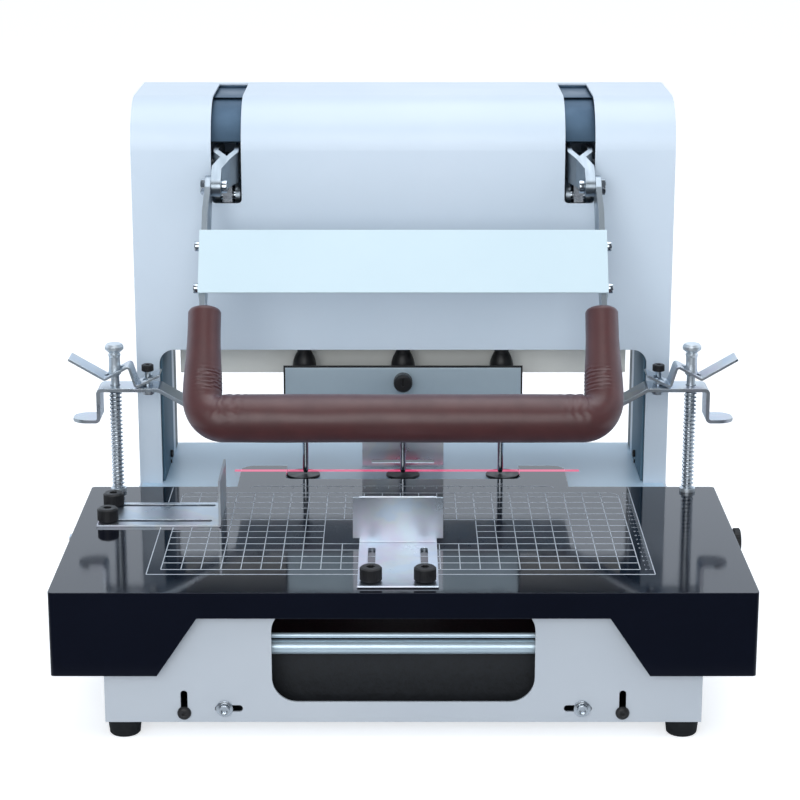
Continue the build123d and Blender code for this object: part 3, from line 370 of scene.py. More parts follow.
with_rainbow(ZINC)
DECK_LINE_Y = 114.8
TABLE_LINE_Y = 105
PAD_LINE_Y = 108.3
CABINET_INSIDE = ((-220.5, -190, 15), (220.5, 200, 114.6))
SKYLIT_DECK_TOP = ((-220, -190, 114.6), (220, 200, 117))
PANEL_BACK = ((-220, -189.6, 15), (220, -189, 114))
SHADE_BEHIND_STOP_SLOT = ((-29, 128, 115), (29, 149, 119))
# Painted shade: the cabinet's inside and the back of the front panel are darkened where shade falls.
INSIDE_SHADE = colour(40, 46, 50)
DECK_PAINT = with_paint_inside(COVER_PAINT, "deck_inside_painted_shade", CABINET_INSIDE, INSIDE_SHADE)
# Painted light: the deck's top is made paler and bluer, as if lit by the sky.
DECK_PAINT = with_paint_inside(DECK_PAINT, "deck_top_painted_skylight", SKYLIT_DECK_TOP, colour(206, 233, 252))
DECK_PAINT = with_laser_line(DECK_PAINT, "deck_paint_with_painted_laser_line", DECK_LINE_Y)
TABLE_TOP_BLACK = with_laser_line(TABLE_BLACK, "table_black_with_painted_laser_line", TABLE_LINE_Y)
PAD_BLACK = with_laser_line(BLACK_PLASTIC, "pad_with_painted_laser_line", PAD_LINE_Y)
# Painted shade: the rear stop's foot behind its slot is darkened so the slot reads dark.
STOP_ZINC = with_paint_inside(ZINC, "stop_zinc_painted_shade", SHADE_BEHIND_STOP_SLOT, colour(26, 34, 40))
PANEL_PAINT = with_paint_inside(PANEL_GREY, "panel_paint_shaded_inside", PANEL_BACK, INSIDE_SHADE)
print("finishes with the ones that vary by place:", len(bpy.data.materials))

# %% [markdown]
# ## Dressing the solids
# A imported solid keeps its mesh. Its finish goes on the object's own material slot, so one finish
# serves many nodes.


# %% Finish of each solid node
FINISHES = {
    COVER_PAINT: "front_cover back_cover side_panel_left side_panel_right",
    DECK_PAINT: "base_shell",
    PANEL_PAINT: "front_panel",
    FRAME_PAINT_SHADED: "side_frame_left side_frame_right head_ties",
    BEAM_PAINT: "spindle_beam",
    PLATE_PAINT: "cross_plate",
    TABLE_TOP_BLACK: "table",
    PAD_BLACK: "cutting_pads",
    TRAY_CHARCOAL: "chip_tray",
    SHUTTER_BLUE: "slot_shutters",
    ZINC: "front_stop side_fence strap_left strap_right lock_lever_left lock_lever_right "
          "presser_foot",
    STOP_ZINC: "rear_stop",
    GUARD_ZINC: "guard_plate window_bars",
    ARM_STEEL: "lever_left lever_right handle_arm_left handle_arm_right",
    PALE_SATIN: "clamp_rods",
    STEEL: "handle_shaft guide_rods lift_lugs grip_core",
    CHROME: "handle_pins_and_bolts case_screws drill_left drill_middle drill_right",
    BLACK_PLASTIC: "guard_backing guard_knob table_knob laser_module strap_screws "
                   "spindle_left spindle_middle spindle_right "
                   "thumb_screw_stop_left thumb_screw_stop_right "
                   "thumb_screw_fence_front thumb_screw_fence_rear",
    RUBBER: "rubber_feet belts grip springs",
    BRONZE: "shaft_bearings guide_bushes",
    MOTOR_GREY: "motor motor_pulley",
}


def dress(node_name, material):
    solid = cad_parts[node_name]
    if not solid.material_slots:
        solid.data.materials.append(None)
    for place in solid.material_slots:
        place.link = "OBJECT"
        place.material = material


for material, names in FINISHES.items():
    for node_name in names.split():
        dress(node_name, material)
bare = set(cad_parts) - set(" ".join(FINISHES.values()).split())
print("solids without a finish:", sorted(bare))

# %% [markdown]
# ## Turned and hexagonal pieces
# Screws, nuts and sockets are all rings stacked along an axis. A ring is a circle, or a hexagon cut
# by a circle, which is what a chamfered nut is. One helper stacks them, so a socket is a few rings
# going back down.


# %% Mesh helpers
def new_piece(name, mesh, material, body):
    """A shown piece that rides on a body, smooth but for its sharp edges."""
    if material is not None:
        mesh.materials.clear()
        mesh.materials.append(material)
    mesh.shade_smooth()
    mesh.set_sharp_from_angle(angle=math.radians(32))
    made = bpy.data.objects.new(name, mesh)
    scene.collection.objects.link(made)
    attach(made, body)
    return made


def ring_radius(ring, angle):
    """A ring is (radius, height) or (hexagon corner radius, height, limiting circle)."""
    if len(ring) == 2:
        return ring[0]
    inside = math.radians(30)
    to_flat = (angle % (2 * inside)) - inside
    return min(ring[0] * math.cos(inside) / math.cos(to_flat), ring[2])


def stack(shape, rings, at, axis=(0, 0, 1), segments=24):
    """Adds rings along an axis to a bmesh, closed where the radius is 0; lengths in millimetres."""
    turn = Vector(axis).to_track_quat("Z", "Y").to_matrix().to_4x4()
    place = Matrix.Translation(Vector(at) * MM) @ turn
    rows = []
    for ring in rings:
        if ring[0] == 0:
            rows.append([shape.verts.new(place @ Vector((0, 0, ring[1] * MM)))])
            continue
        row = []
        for step in range(segments):
            angle = 2 * math.pi * step / segments
            reach = ring_radius(ring, angle)
            point = Vector((reach * math.cos(angle), reach * math.sin(angle), ring[1])) * MM
            row.append(shape.verts.new(place @ point))
        rows.append(row)
    for low, high in zip(rows, rows[1:]):
        for step in range(segments):
            after = (step + 1) % segments
            if len(low) == 1:
                shape.faces.new((low[0], high[after], high[step]))
            elif len(high) == 1:
                shape.faces.new((low[step], low[after], high[0]))
            else:
                shape.faces.new((low[step], low[after], high[after], high[step]))


def closed_mesh(shape, name):
    """The bmesh as a mesh, its faces turned outward."""
    bmesh.ops.recalc_face_normals(shape, faces=shape.faces)
    mesh = bpy.data.meshes.new(name)
    shape.to_mesh(mesh)
    shape.free()
    return mesh


def socket_head(radius, height, hexagon, dome=0.0):
    """Rings of a screw head with a hexagon socket, from its seat at 0 up."""
    deep = height * 0.45
    return [(0, 0), (radius * 0.97, 0), (radius, height * 0.08), (radius, height * (0.88 - dome)),
            (radius * (0.93 - dome * 0.35), height), (hexagon * 1.12, height),
            (hexagon, height - 0.25, 99), (hexagon, deep, 99), (0, deep - 0.4)]


def nut_rings(corner, height, hole=0.0):
    """Rings of a chamfered hexagon nut or bolt head, from 0 up."""
    flat = corner * 0.9
    return [(hole, 0), (flat * 0.98, 0), (corner, height * 0.12, corner),
            (corner, height * 0.86, corner), (flat * 0.96, height), (hole, height)]


# %% [markdown]
# ## Geometry Nodes for what repeats
# The grid on the table, the knurls on screws and knobs and the turns of the springs follow rules, so
# small trees grow them from named sizes. Each ends in Realize Instances and Set Material, and is
# then turned into a plain mesh.


# %% Growing a mesh from a tree
def grow(tree, material, **sizes):
    """The mesh that a tree makes from its named inputs."""
    seed = bpy.data.objects.new("seed", bpy.data.meshes.new("seed"))
    scene.collection.objects.link(seed)
    modifier = seed.modifiers.new("grow", "NODES")
    modifier.node_group = tree
    for socket in tree.interface.items_tree:
        if socket.in_out == "INPUT" and socket.name in sizes:
            modifier[socket.identifier] = sizes[socket.name]
        if socket.in_out == "INPUT" and socket.name == "Material":
            modifier[socket.identifier] = material
    bpy.context.view_layer.update()
    shown = seed.evaluated_get(bpy.context.evaluated_depsgraph_get())
    mesh = bpy.data.meshes.new_from_object(shown)
    bpy.data.objects.remove(seed)
    return mesh


def start_tree(name, inputs):
    tree = bpy.data.node_groups.new(name, "GeometryNodeTree")
    for title, kind in inputs:
        tree.interface.new_socket(name=title, in_out="INPUT", socket_type=kind)
    tree.interface.new_socket(name="Material", in_out="INPUT", socket_type="NodeSocketMaterial")
    tree.interface.new_socket(name="Geometry", in_out="OUTPUT", socket_type="NodeSocketGeometry")
    return tree, tree.nodes.new("NodeGroupInput"), tree.nodes.new("NodeGroupOutput")


def end_tree(tree, given, result, geometry):
    """Realize Instances and Set Material before the output."""
    real = add(tree, "GeometryNodeRealizeInstances", Geometry=geometry)
    paint = add(tree, "GeometryNodeSetMaterial", Geometry=real.outputs["Geometry"],
                Material=given.outputs["Material"])
    put(tree, paint.outputs["Geometry"], result.inputs["Geometry"])
    return tree


def make_bar_row():
    """Equal small bars set along a line."""
    inputs = [("Count", "NodeSocketInt"), ("Start", VECTOR), ("Step", VECTOR), ("Size", VECTOR)]
    tree, given, result = start_tree("bar_row", inputs)
    line = add(tree, "GeometryNodeMeshLine", Count=given.outputs["Count"],
               Start_Location=given.outputs["Start"], Offset=given.outputs["Step"])
    bar = add(tree, "GeometryNodeMeshCube", Size=given.outputs["Size"])
    spread = add(tree, "GeometryNodeInstanceOnPoints", Points=line.outputs["Mesh"],
                 Instance=bar.outputs["Mesh"])
    return end_tree(tree, given, result, spread.outputs["Instances"])


def make_knurl():
    """Ridges round a head, each turned to face outward."""
    inputs = [("Ridges", "NodeSocketInt"), ("Radius", NUMBER), ("Ridge", VECTOR)]
    tree, given, result = start_tree("knurl", inputs)
    circle = add(tree, "GeometryNodeMeshCircle", Vertices=given.outputs["Ridges"],
                 Radius=given.outputs["Radius"])
    ridge = add(tree, "GeometryNodeMeshCube", Size=given.outputs["Ridge"])
    outward = add(tree, "GeometryNodeInputPosition")
    turn = add(tree, "FunctionNodeAlignRotationToVector", {"axis": "X", "pivot_axis": "Z"},
               Vector=outward.outputs["Position"])
    spread = add(tree, "GeometryNodeInstanceOnPoints", Points=circle.outputs["Mesh"],
                 Instance=ridge.outputs["Mesh"], Rotation=turn.outputs["Rotation"])
    return end_tree(tree, given, result, spread.outputs["Instances"])


def make_coil():
    """Round wire along a spiral."""
    inputs = [("Turns", NUMBER), ("Radius", NUMBER), ("Height", NUMBER), ("Wire", NUMBER)]
    tree, given, result = start_tree("coil", inputs)
    radius = given.outputs["Radius"]
    spiral = add(tree, "GeometryNodeCurveSpiral", Resolution=24, Rotations=given.outputs["Turns"],
                 Start_Radius=radius, End_Radius=radius, Height=given.outputs["Height"])
    section = add(tree, "GeometryNodeCurvePrimitiveCircle", Resolution=8, Radius=given.outputs["Wire"])
    sweep = add(tree, "GeometryNodeCurveToMesh", Fill_Caps=True, Curve=spiral.outputs["Curve"],
                Profile_Curve=section.outputs["Curve"])
    return end_tree(tree, given, result, sweep.outputs["Mesh"])


def make_arc():
    """A flat line along a quarter circle."""
    inputs = [("Radius", NUMBER), ("First", NUMBER), ("Line", VECTOR)]
    tree, given, result = start_tree("ink_arc", inputs)
    arc = add(tree, "GeometryNodeCurveArc", Resolution=10, Sweep_Angle=math.pi / 2,
              Radius=given.outputs["Radius"], Start_Angle=given.outputs["First"])
    size = add(tree, "ShaderNodeSeparateXYZ", Vector=given.outputs["Line"])
    section = add(tree, "GeometryNodeCurvePrimitiveQuadrilateral", Width=size.outputs["X"],
                  Height=size.outputs["Y"])
    sweep = add(tree, "GeometryNodeCurveToMesh", Fill_Caps=True, Curve=arc.outputs["Curve"],
                Profile_Curve=section.outputs["Curve"])
    return end_tree(tree, given, result, sweep.outputs["Mesh"])


BAR_ROW = make_bar_row()
KNURL = make_knurl()
COIL = make_coil()
ARC = make_arc()


def joined(meshes, name):
    """Several meshes in one."""
    shape = bmesh.new()
    for mesh in meshes:
        shape.from_mesh(mesh)
        bpy.data.meshes.remove(mesh)
    merged = bpy.data.meshes.new(name)
    shape.to_mesh(merged)
    shape.free()
    return merged


# %% [markdown]
# ## Screws and bolts
# The photograph shows black button heads and bright flange bolts in the panel's slots, and cylinder
# heads with a hexagon socket on the cross plate. Each is turned from rings, so its socket and
# chamfer are real.


# %% Screws, bolts and nuts
def screw_piece(name, heads, material, body):
    """One piece from several (rings, place, axis) heads."""
    shape = bmesh.new()
    for rings, at, axis in heads:
        stack(shape, rings, at, axis)
    return new_piece(name, closed_mesh(shape, name), material, body)


def both(x, y, z):
    """The same place on the left and on the right, with the direction that points outward."""
    return [((side * x, y, z), (side, 0, 0)) for side in (-1, 1)]


def rod(radius, low, high):
    """Rings of a plain round stem."""
    return [(0, low), (radius, low), (radius, high), (0, high)]


FRONT = (0, -1, 0)
BACK = (0, 1, 0)
UP = (0, 0, 1)
PANEL_Y = -191.5
BUTTON_PLACE = (163, PANEL_Y, 20.9)
FLANGE_PLACE = (133, PANEL_Y, 24.3)
APRON_PLACE = (-260, -24.5, 99)
PANEL_STEM = rod(2.3, 0, 6.5)
BUTTON = [(0, 0), (5.0, 0), (5.25, 0.5), (5.0, 1.5), (4.2, 2.5), (3.2, 3.0), (2.2, 3.0),
          (1.75, 2.8, 99), (1.75, 1.4, 99), (0, 1.2)]
FLANGE = [(0, 0), (6.3, 0), (6.5, 0.4), (6.2, 1.1), (4.3, 1.5), (4.2, 4.6), (3.9, 5.0), (2.7, 5.0),
          (2.4, 4.8, 99), (2.4, 2.6, 99), (0, 2.3)]


def panel_screws(rings, place):
    """Heads on the panel's face at a place and its mirror image, and then their stems."""
    places = [at for at, outward in both(*place)]
    return [(rings, at, FRONT) for at in places] + [(PANEL_STEM, at, BACK) for at in places]


buttons = panel_screws(BUTTON, BUTTON_PLACE)
button_piece = screw_piece("panel_buttons", buttons, BLACK_PLASTIC, "machine")
apron_bolt = [(socket_head(6, 8, 2.6), APRON_PLACE, (-1, 0, 0)),
              (rod(3.5, 0, 8), APRON_PLACE, (1, 0, 0))]
flanges = panel_screws(FLANGE, FLANGE_PLACE) + apron_bolt
flange_piece = screw_piece("panel_flange_bolts", flanges, CHROME, "machine")
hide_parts("case_screws")
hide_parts("case_screws")

KNUCKLE_PLACE = (58.5, 373)
ARM_FACE = 159.5
EAR_FACE = 162.5
HEAD_PLACES = ((29.71, 329.69), (9.79, 299.71))
LIFT_PLACE = (100.2, 358.76)
ARM_STACK = 12.5
PIN_X = 134
PIN = [(0, 0), (3.6, 0), (4, 0.4), (4, 20.1), (3.6, 20.5), (0, 20.5)]
heads = []
for side in (-1, 1):
    outward = (side, 0, 0)
    inner_knuckle = (side * (ARM_FACE - ARM_STACK), *KNUCKLE_PLACE)
    heads.append((nut_rings(7, 4), (side * ARM_FACE, *KNUCKLE_PLACE), outward))
    heads.append((rod(4, 0, ARM_STACK), inner_knuckle, outward))
    heads.append((socket_head(5.5, 5, 2.4), inner_knuckle, (-side, 0, 0)))
    heads.append((PIN, (side * PIN_X, *LIFT_PLACE), outward))
    for place in HEAD_PLACES:
        heads.append((socket_head(4.2, 4.5, 1.9), (side * EAR_FACE, *place), outward))
        heads.append((rod(2, 0, 6), (side * EAR_FACE, *place), (-side, 0, 0)))
handle_screws = screw_piece("handle_screws", heads, CHROME, "handle")
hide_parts("handle_pins_and_bolts")

STRAP_SCREW = (209.6, 47.5, 0)
CAP = [(0, 222), (4.2, 222), (4.6, 222.4), (4.6, 227), (4.2, 227.5), (2.3, 227.5), (2.0, 227.2, 99),
       (2.0, 224.5, 99), (0, 224.2)]
STRAP_COLLAR = [(0, 210), (3.8, 210), (3.8, 211.6), (3.5, 212), (0, 212)]
STRAP_NUT = [(radius, height + 202.5, *limit) for radius, height, *limit in nut_rings(5, 4.5)]
strap_places = [at for at, outward in both(*STRAP_SCREW)]
caps = [(CAP, at, UP) for at in strap_places]
cap_piece = screw_piece("strap_screw_caps", caps, BLACK_PLASTIC, "presser")
STRAP_STEM = rod(2.4, 202.5, 222)
below = [(rings, at, UP) for at in strap_places for rings in (STRAP_STEM, STRAP_COLLAR, STRAP_NUT)]
stem_piece = screw_piece("strap_screw_stems", below, ZINC, "presser")
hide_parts("strap_screws")
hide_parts("strap_screws")
print("turned heads and stems:", len(buttons) + len(flanges) + len(heads) + len(caps) + len(below))

# %% [markdown]
# ## Thin sheets inside the head
# Behind each lever the cover's slot is closed by a bent blue-grey shutter that swings with the
# handle, and by a liner under the cover's top. Each column is lined on its inner side with sheets in
# bands of different greys; the darker bands are painted shade on the column's inner face. One helper
# makes the flat plates with softened edges, and the shutter is swept round the shaft.


# %% Linings and shutters
def sheet_box(shape, low, high, soft=0.4):
    """A thin plate with softened edges between two corners, in millimetres."""
    made = bmesh.ops.create_cube(shape, size=1)
    size = Vector(high) - Vector(low)
    middle = (Vector(high) + Vector(low)) / 2
    for vertex in made["verts"]:
        vertex.co = Vector([middle[axis] + vertex.co[axis] * size[axis] for axis in range(3)]) * MM
    edges = list({edge for vertex in made["verts"] for edge in vertex.link_edges})
    bmesh.ops.bevel(shape, geom=edges, offset=soft * MM, segments=2, affect="EDGES", profile=0.5)


def mirrored_plates(name, low, high, material, slot_name, soft=0.4):
    """A plate on the right and its mirror image on the left."""
    shape = bmesh.new()
    sheet_box(shape, low, high, soft)
    sheet_box(shape, (-high[0], low[1], low[2]), (-low[0], high[1], high[2]), soft)
    return new_piece(name, closed_mesh(shape, name), material, "machine")


LINER_X = (130.5, 158)
LINER_Y = (130, 193)
LINER_Z = (434.8, 435.4)
PACKING_Y = 190.5
COVER_UNDERSIDE = 437.5
mirrored_plates("slot_liners", *zip(LINER_X, LINER_Y, LINER_Z), SHUTTER_BLUE, "shutter_blue", 0.15)
PACKING_LOW = (LINER_X[0], PACKING_Y, 435.2)
PACKING_HIGH = (LINER_X[1], LINER_Y[1], COVER_UNDERSIDE)
mirrored_plates("slot_liner_packing", PACKING_LOW, PACKING_HIGH, SHUTTER_BLUE, "shutter_blue")
LINING_X = (201.2, 203)
LINING_Z = (116.05, 231.6)
# The darker bands carry painted shade; the pale band keeps the cover's paint.
BANDS = (("column_linings_painted_shade", (85, 162), FRAME_PAINT_SHADED, "frame_paint"),
         ("column_flanges", (162, 179), COVER_PAINT, "cover_paint"),
         ("column_edges_painted_shade", (179, 198), LINING_SHADE, "frame_paint"))
for name, band, material, slot_name in BANDS:
    mirrored_plates(name, *zip(LINING_X, band, LINING_Z), material, slot_name)
LINING_SCREWS = ((socket_head(3.2, 2.2, 1.5), 126), (socket_head(1.6, 1.2, 0.8), 119))
column_screws = [(rings, at, (-outward[0], 0, 0))
                 for rings, z in LINING_SCREWS for at, outward in both(201.3, 133, z)]
screw_piece("column_screws", column_screws, BLACK_PLASTIC, "machine")

SHAFT = (141, 380)
SHUTTER_X = (131.2, 157.8)
SHUTTER_RADII = (53, 54.5)
SHUTTER_ARC = (28, 125)


def swept_plate(shape, radii, arc, wide, steps=40):
    """A plate swept round the shaft from one angle to another, between two radii."""
    rows = []
    for step in range(steps + 1):
        turn = math.radians(arc[0] + (arc[1] - arc[0]) * step / steps)
        row = []
        corners = ((radii[0], wide[0]), (radii[0], wide[1]), (radii[1], wide[1]), (radii[1], wide[0]))
        for radius, x in corners:
            y = SHAFT[0] - radius * math.cos(turn)
            row.append(shape.verts.new(Vector((x, y, SHAFT[1] + radius * math.sin(turn))) * MM))
        rows.append(row)
    for low, high in zip(rows, rows[1:]):
        for corner in range(4):
            after = (corner + 1) % 4
            shape.faces.new((low[corner], low[after], high[after], high[corner]))
    shape.faces.new(rows[0])
    shape.faces.new(rows[-1][::-1])


LIP_RADIUS = 51.4
LIP_ARC = (26.6, SHUTTER_ARC[0])
WEB_RADII = (8.5, 53.5)
WEB_ARC = (65, 100)
WEB_X = (138, 139.5)
shutter_shape = bmesh.new()
for side in (-1, 1):
    wide = [side * x for x in SHUTTER_X]
    swept_plate(shutter_shape, SHUTTER_RADII, SHUTTER_ARC, wide)
    swept_plate(shutter_shape, (LIP_RADIUS, SHUTTER_RADII[1]), LIP_ARC, wide, 2)
    swept_plate(shutter_shape, WEB_RADII, WEB_ARC, [side * x for x in WEB_X], 16)
shutter_mesh = closed_mesh(shutter_shape, "shutters")
shutters = new_piece("shutters", shutter_mesh, SHUTTER_BLUE, "handle")
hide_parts("slot_shutters")
print("shutter faces:", len(shutters.data.polygons))

# %% [markdown]
# ## Springs
# Each clamp rod carries a coil of about 25 turns between its collar and the strap. On the machine
# the coil closes up toward the collar as the presser goes down, keeping 40 of its 85 mm at the
# lowest stop; here it is one fixed coil at its full length.

# %% Springs
ROD_X = 236.5
ROD_Y = 47.5
SPRING_LOW = 122
SPRING_HIGH = 207
SPRING_RADIUS = 4.6
WIRE_RADIUS = 0.6
spring_length = SPRING_HIGH - SPRING_LOW
wire_height = spring_length - 2 * WIRE_RADIUS
for side, side_name in ((-1, "left"), (1, "right")):
    coil = grow(COIL, CHROME, Turns=25.0, Radius=SPRING_RADIUS * MM, Height=wire_height * MM,
                Wire=WIRE_RADIUS * MM)
    coil.transform(Matrix.Translation(Vector((side * ROD_X, ROD_Y, SPRING_LOW + WIRE_RADIUS)) * MM))
    spring = new_piece("spring_" + side_name, coil, None, "machine")
    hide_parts("springs")
    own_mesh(spring)
print("spring triangles each:", 2 * len(coil.polygons))

# %% [markdown]
# ## The padded grip
# A foam sleeve in smooth brown vinyl is pushed over a bent steel rod. At each elbow it has no room
# on the inside, so it pinches into a crease, and the leg above wrinkles. It is built as one long
# sleeve whose rings follow the rod: the inner side of the bend is stopped at the bend's centre,
# which makes the crease.

# %% Grip
KNUCKLE = Vector((0, 58.5, 373))
GRIP_LINE = Vector((0, -50.5, 209))
ARM_LENGTH = (GRIP_LINE - KNUCKLE).length
DOWN = (GRIP_LINE - KNUCKLE).normalized()
REAR = Vector((1, 0, 0)).cross(DOWN)
LEG_X = 157.5
LEG_START = 106
LEG_TOP_RADIUS = 13.2
LEG_LOW_RADIUS = 15.4
BAR_RADIUS = 19
BEND = 17
LEG_STEP = 1.2
BAR_STEP = 1.5
ELBOW_STEPS = 26
RING_SIDES = 72
END_RINGS = ((0.93, 1.7), (0.8, 2.7), (0.6, 3.0))


def smooth(low, high, value):
    """0 below low, 1 above high, and an even curve between."""
    part = min(max((value - low) / (high - low), 0), 1)
    return part * part * (3 - 2 * part)


def sleeve_stations():
    """(down, across, heading, radius, distance past the elbow's start) along half of the sleeve."""
    bend_start = ARM_LENGTH - BEND
    stations = []
    for number in range(int((bend_start - LEG_START) / LEG_STEP)):
        down = LEG_START + 3 + number * LEG_STEP
        if down >= bend_start:
            break
        part = smooth(LEG_START + 20, bend_start, down)
        radius = LEG_TOP_RADIUS + (LEG_LOW_RADIUS - LEG_TOP_RADIUS) * part
        stations.append((down, -LEG_X, 0.0, radius, down - bend_start))
    for step in range(ELBOW_STEPS + 1):
        turn = math.pi / 2 * step / ELBOW_STEPS
        widened = smooth(0, 1, step / ELBOW_STEPS)
        radius = LEG_LOW_RADIUS + (BAR_RADIUS - LEG_LOW_RADIUS) * widened
        down = bend_start + BEND * math.sin(turn)
        across = -LEG_X + BEND - BEND * math.cos(turn)
        stations.append((down, across, turn, radius, BEND * turn))
    along = -LEG_X + BEND
    passed = BEND * math.pi / 2
    while along < -BAR_STEP:
        along += BAR_STEP
        passed += BAR_STEP
        stations.append((ARM_LENGTH, min(along, 0), math.pi / 2, BAR_RADIUS, passed))
    return stations


def ripple(passed, angle, side):
    """Wrinkles in millimetres; angle 0 faces into the bend and 90 degrees faces the operator."""
    wobble = noise.noise(Vector((passed * 0.05, 3 * math.cos(angle), 3 * math.sin(angle) + side * 7)))
    inner = smooth(-0.2, 0.9, math.cos(angle - 0.7))
    above = smooth(-27, -18, passed) * (1 - smooth(-6, 2, passed))
    wave = 2 * math.pi * passed / 3.1 + 4 * wobble + 1.2 * math.cos(angle)
    folds = 0.42 * above * inner * math.sin(wave)
    past = smooth(14, 24, passed) * (1 - smooth(34, 52, passed))
    creases = 0.3 * past * inner * math.sin(2 * math.pi * passed / 7 + 5 * wobble)
    spot = Vector((passed * 0.02 + side * 11, math.cos(angle), math.sin(angle)))
    return folds + creases + 0.35 * noise.noise(spot)


def sleeve_row(shape, station, side):
    """One ring of the sleeve; side is -1 for the left half and 1 for the right."""
    down, across, turn, radius, passed = station
    inward = Vector((-math.sin(turn), math.cos(turn)))
    row = []
    for step in range(RING_SIDES):
        angle = 2 * math.pi * step / RING_SIDES
        reach = radius + ripple(passed, angle, side)
        into = reach * math.cos(angle)
        if 0 < passed < BEND * math.pi / 2 or abs(turn) in (0.0, math.pi / 2):
            room = BEND - 0.5 if 0 <= passed <= BEND * math.pi / 2 else 99
            into = min(into, room)
        forward = reach * math.sin(angle)
        point = KNUCKLE + DOWN * (down + inward.x * into) - REAR * forward
        point = point + Vector((-side * (across + inward.y * into), 0, 0))
        row.append(shape.verts.new(point * MM))
    return row


def grip_mesh():
    """The whole sleeve with its two rounded ends."""
    shape = bmesh.new()

    def band(low, high):
        for step in range(RING_SIDES):
            after = (step + 1) % RING_SIDES
            shape.faces.new((low[step], low[after], high[after], high[step]))

    left = [sleeve_row(shape, station, -1) for station in sleeve_stations()]
    right = [sleeve_row(shape, station, 1) for station in sleeve_stations()[:-1]]
    rows = left + right[::-1]
    for low, high in zip(rows, rows[1:]):
        band(low, high)
    for row in (rows[0], rows[-1]):
        centre = sum((vertex.co for vertex in row), Vector()) / RING_SIDES
        previous = row
        for share, lift in END_RINGS:
            up = DOWN * lift * MM
            ring = [shape.verts.new(centre + (vertex.co - centre) * share - up) for vertex in row]
            band(previous, ring)
            previous = ring
        shape.faces.new(previous)
    return closed_mesh(shape, "grip_sleeve")


grip = new_piece("grip_sleeve", grip_mesh(), GRIP_BROWN, "handle")
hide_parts("grip")
print("grip faces:", len(grip.data.polygons))

# %% [markdown]
# ## The printed grid
# The table is screen printed in white: 15 mm squares, a rule along the back and one on the right.
# The lines are a few hundredths of a millimetre of ink, so they are very thin bars just above the
# paint. The lines from left to right are drawn a little wider, because they are seen from low down.
# The middle stays bare.

# %% Grid lines
CELL = 15
GRID_LEFT = -182.1
GRID_FRONT = -150
COLUMNS = 24
ROWS = 12
INK_Z = 119.05
INK = 0.06
LINE = 0.7
ACROSS = 1.2
BARE_X = (-62.1, 57.9)
BARE_Y = (-90, -30)
FRAME_X = (-192, 188)
FRAME_Y = (-161, 57.5)
BACK_GAP = 11
CORNER = 9


def ink(count, start, step, size):
    """A row of printed bars; lengths in millimetres."""
    return grow(BAR_ROW, WHITE_INK, Count=count, Start=Vector((*start, INK_Z)) * MM,
                Step=Vector((*step, 0)) * MM, Size=Vector((*size, INK)) * MM)


def ink_arc(centre, radius, first):
    """A printed quarter of a circle that starts at an angle in degrees."""
    line = Vector((LINE, INK, 0)) * MM
    mesh = grow(ARC, WHITE_INK, Radius=radius * MM, First=math.radians(first), Line=line)
    mesh.transform(Matrix.Translation(Vector((*centre, INK_Z)) * MM))
    return mesh


marks = []


def away_lines(first, count, front, back, step=CELL):
    """Lines that run away from the operator, side by side from a first one."""
    marks.append(ink(count, (first, (front + back) / 2), (step, 0), (LINE, back - front)))


def level_lines(first, count, left, right):
    """Lines from left to right, one behind the other from a first one."""
    marks.append(ink(count, ((left + right) / 2, first), (0, CELL), (right - left, ACROSS)))


grid_right = GRID_LEFT + COLUMNS * CELL
grid_back = GRID_FRONT + ROWS * CELL
back_line = grid_back + BACK_GAP
bare_first, bare_last = [round((x - GRID_LEFT) / CELL) for x in BARE_X]
bare_low, bare_high = [round((y - GRID_FRONT) / CELL) for y in BARE_Y]
away_lines(GRID_LEFT, 2, GRID_FRONT, back_line - CORNER, grid_right - GRID_LEFT)
away_lines(GRID_LEFT + CELL, bare_first, GRID_FRONT, back_line)
away_lines(BARE_X[1], COLUMNS - bare_last, GRID_FRONT, back_line)
for front, back in ((GRID_FRONT, BARE_Y[0]), (BARE_Y[1], back_line)):
    away_lines(BARE_X[0] + CELL, bare_last - bare_first - 1, front, back)
level_lines(GRID_FRONT, bare_low + 1, GRID_LEFT, grid_right)
level_lines(BARE_Y[1], ROWS - bare_high + 1, GRID_LEFT, grid_right)
for left, right in ((GRID_LEFT, BARE_X[0]), (BARE_X[1], grid_right)):
    level_lines(BARE_Y[0] + CELL, bare_high - bare_low - 1, left, right)
level_lines(back_line, 1, GRID_LEFT + CORNER, grid_right - CORNER)
marks.append(ink_arc((grid_right - CORNER, back_line - CORNER), CORNER, 0))
marks.append(ink_arc((GRID_LEFT + CORNER, back_line - CORNER), CORNER, 90))
level_lines(FRAME_Y[0], 1, *FRAME_X)
away_lines(FRAME_X[0], 2, *FRAME_Y, FRAME_X[1] - FRAME_X[0])
REAR_RULE_X = (-121.6, 120.6)
REAR_RULE_Y = 60
RULE_CORNER = 5
level_lines(REAR_RULE_Y, 1, *REAR_RULE_X)
marks.append(ink_arc((REAR_RULE_X[1], REAR_RULE_Y - RULE_CORNER), RULE_CORNER, 0))
marks.append(ink_arc((REAR_RULE_X[0], REAR_RULE_Y - RULE_CORNER), RULE_CORNER, 90))
print("grid parts:", len(marks))


# %% Rules and their numbers
def number_mesh(number, x, y, size):
    """A printed number, upright to the operator."""
    words = bpy.data.curves.new("number", "FONT")
    words.body = str(number)
    words.size = size * MM
    words.align_x = "CENTER"
    words.align_y = "CENTER"
    words.extrude = INK / 2 * MM
    holder = bpy.data.objects.new("number", words)
    scene.collection.objects.link(holder)
    bpy.context.view_layer.update()
    mesh = bpy.data.meshes.new_from_object(holder.evaluated_get(bpy.context.evaluated_depsgraph_get()))
    mesh.transform(Matrix.Translation(Vector((x, y, INK_Z)) * MM))
    bpy.data.objects.remove(holder)
    bpy.data.curves.remove(words)
    return mesh


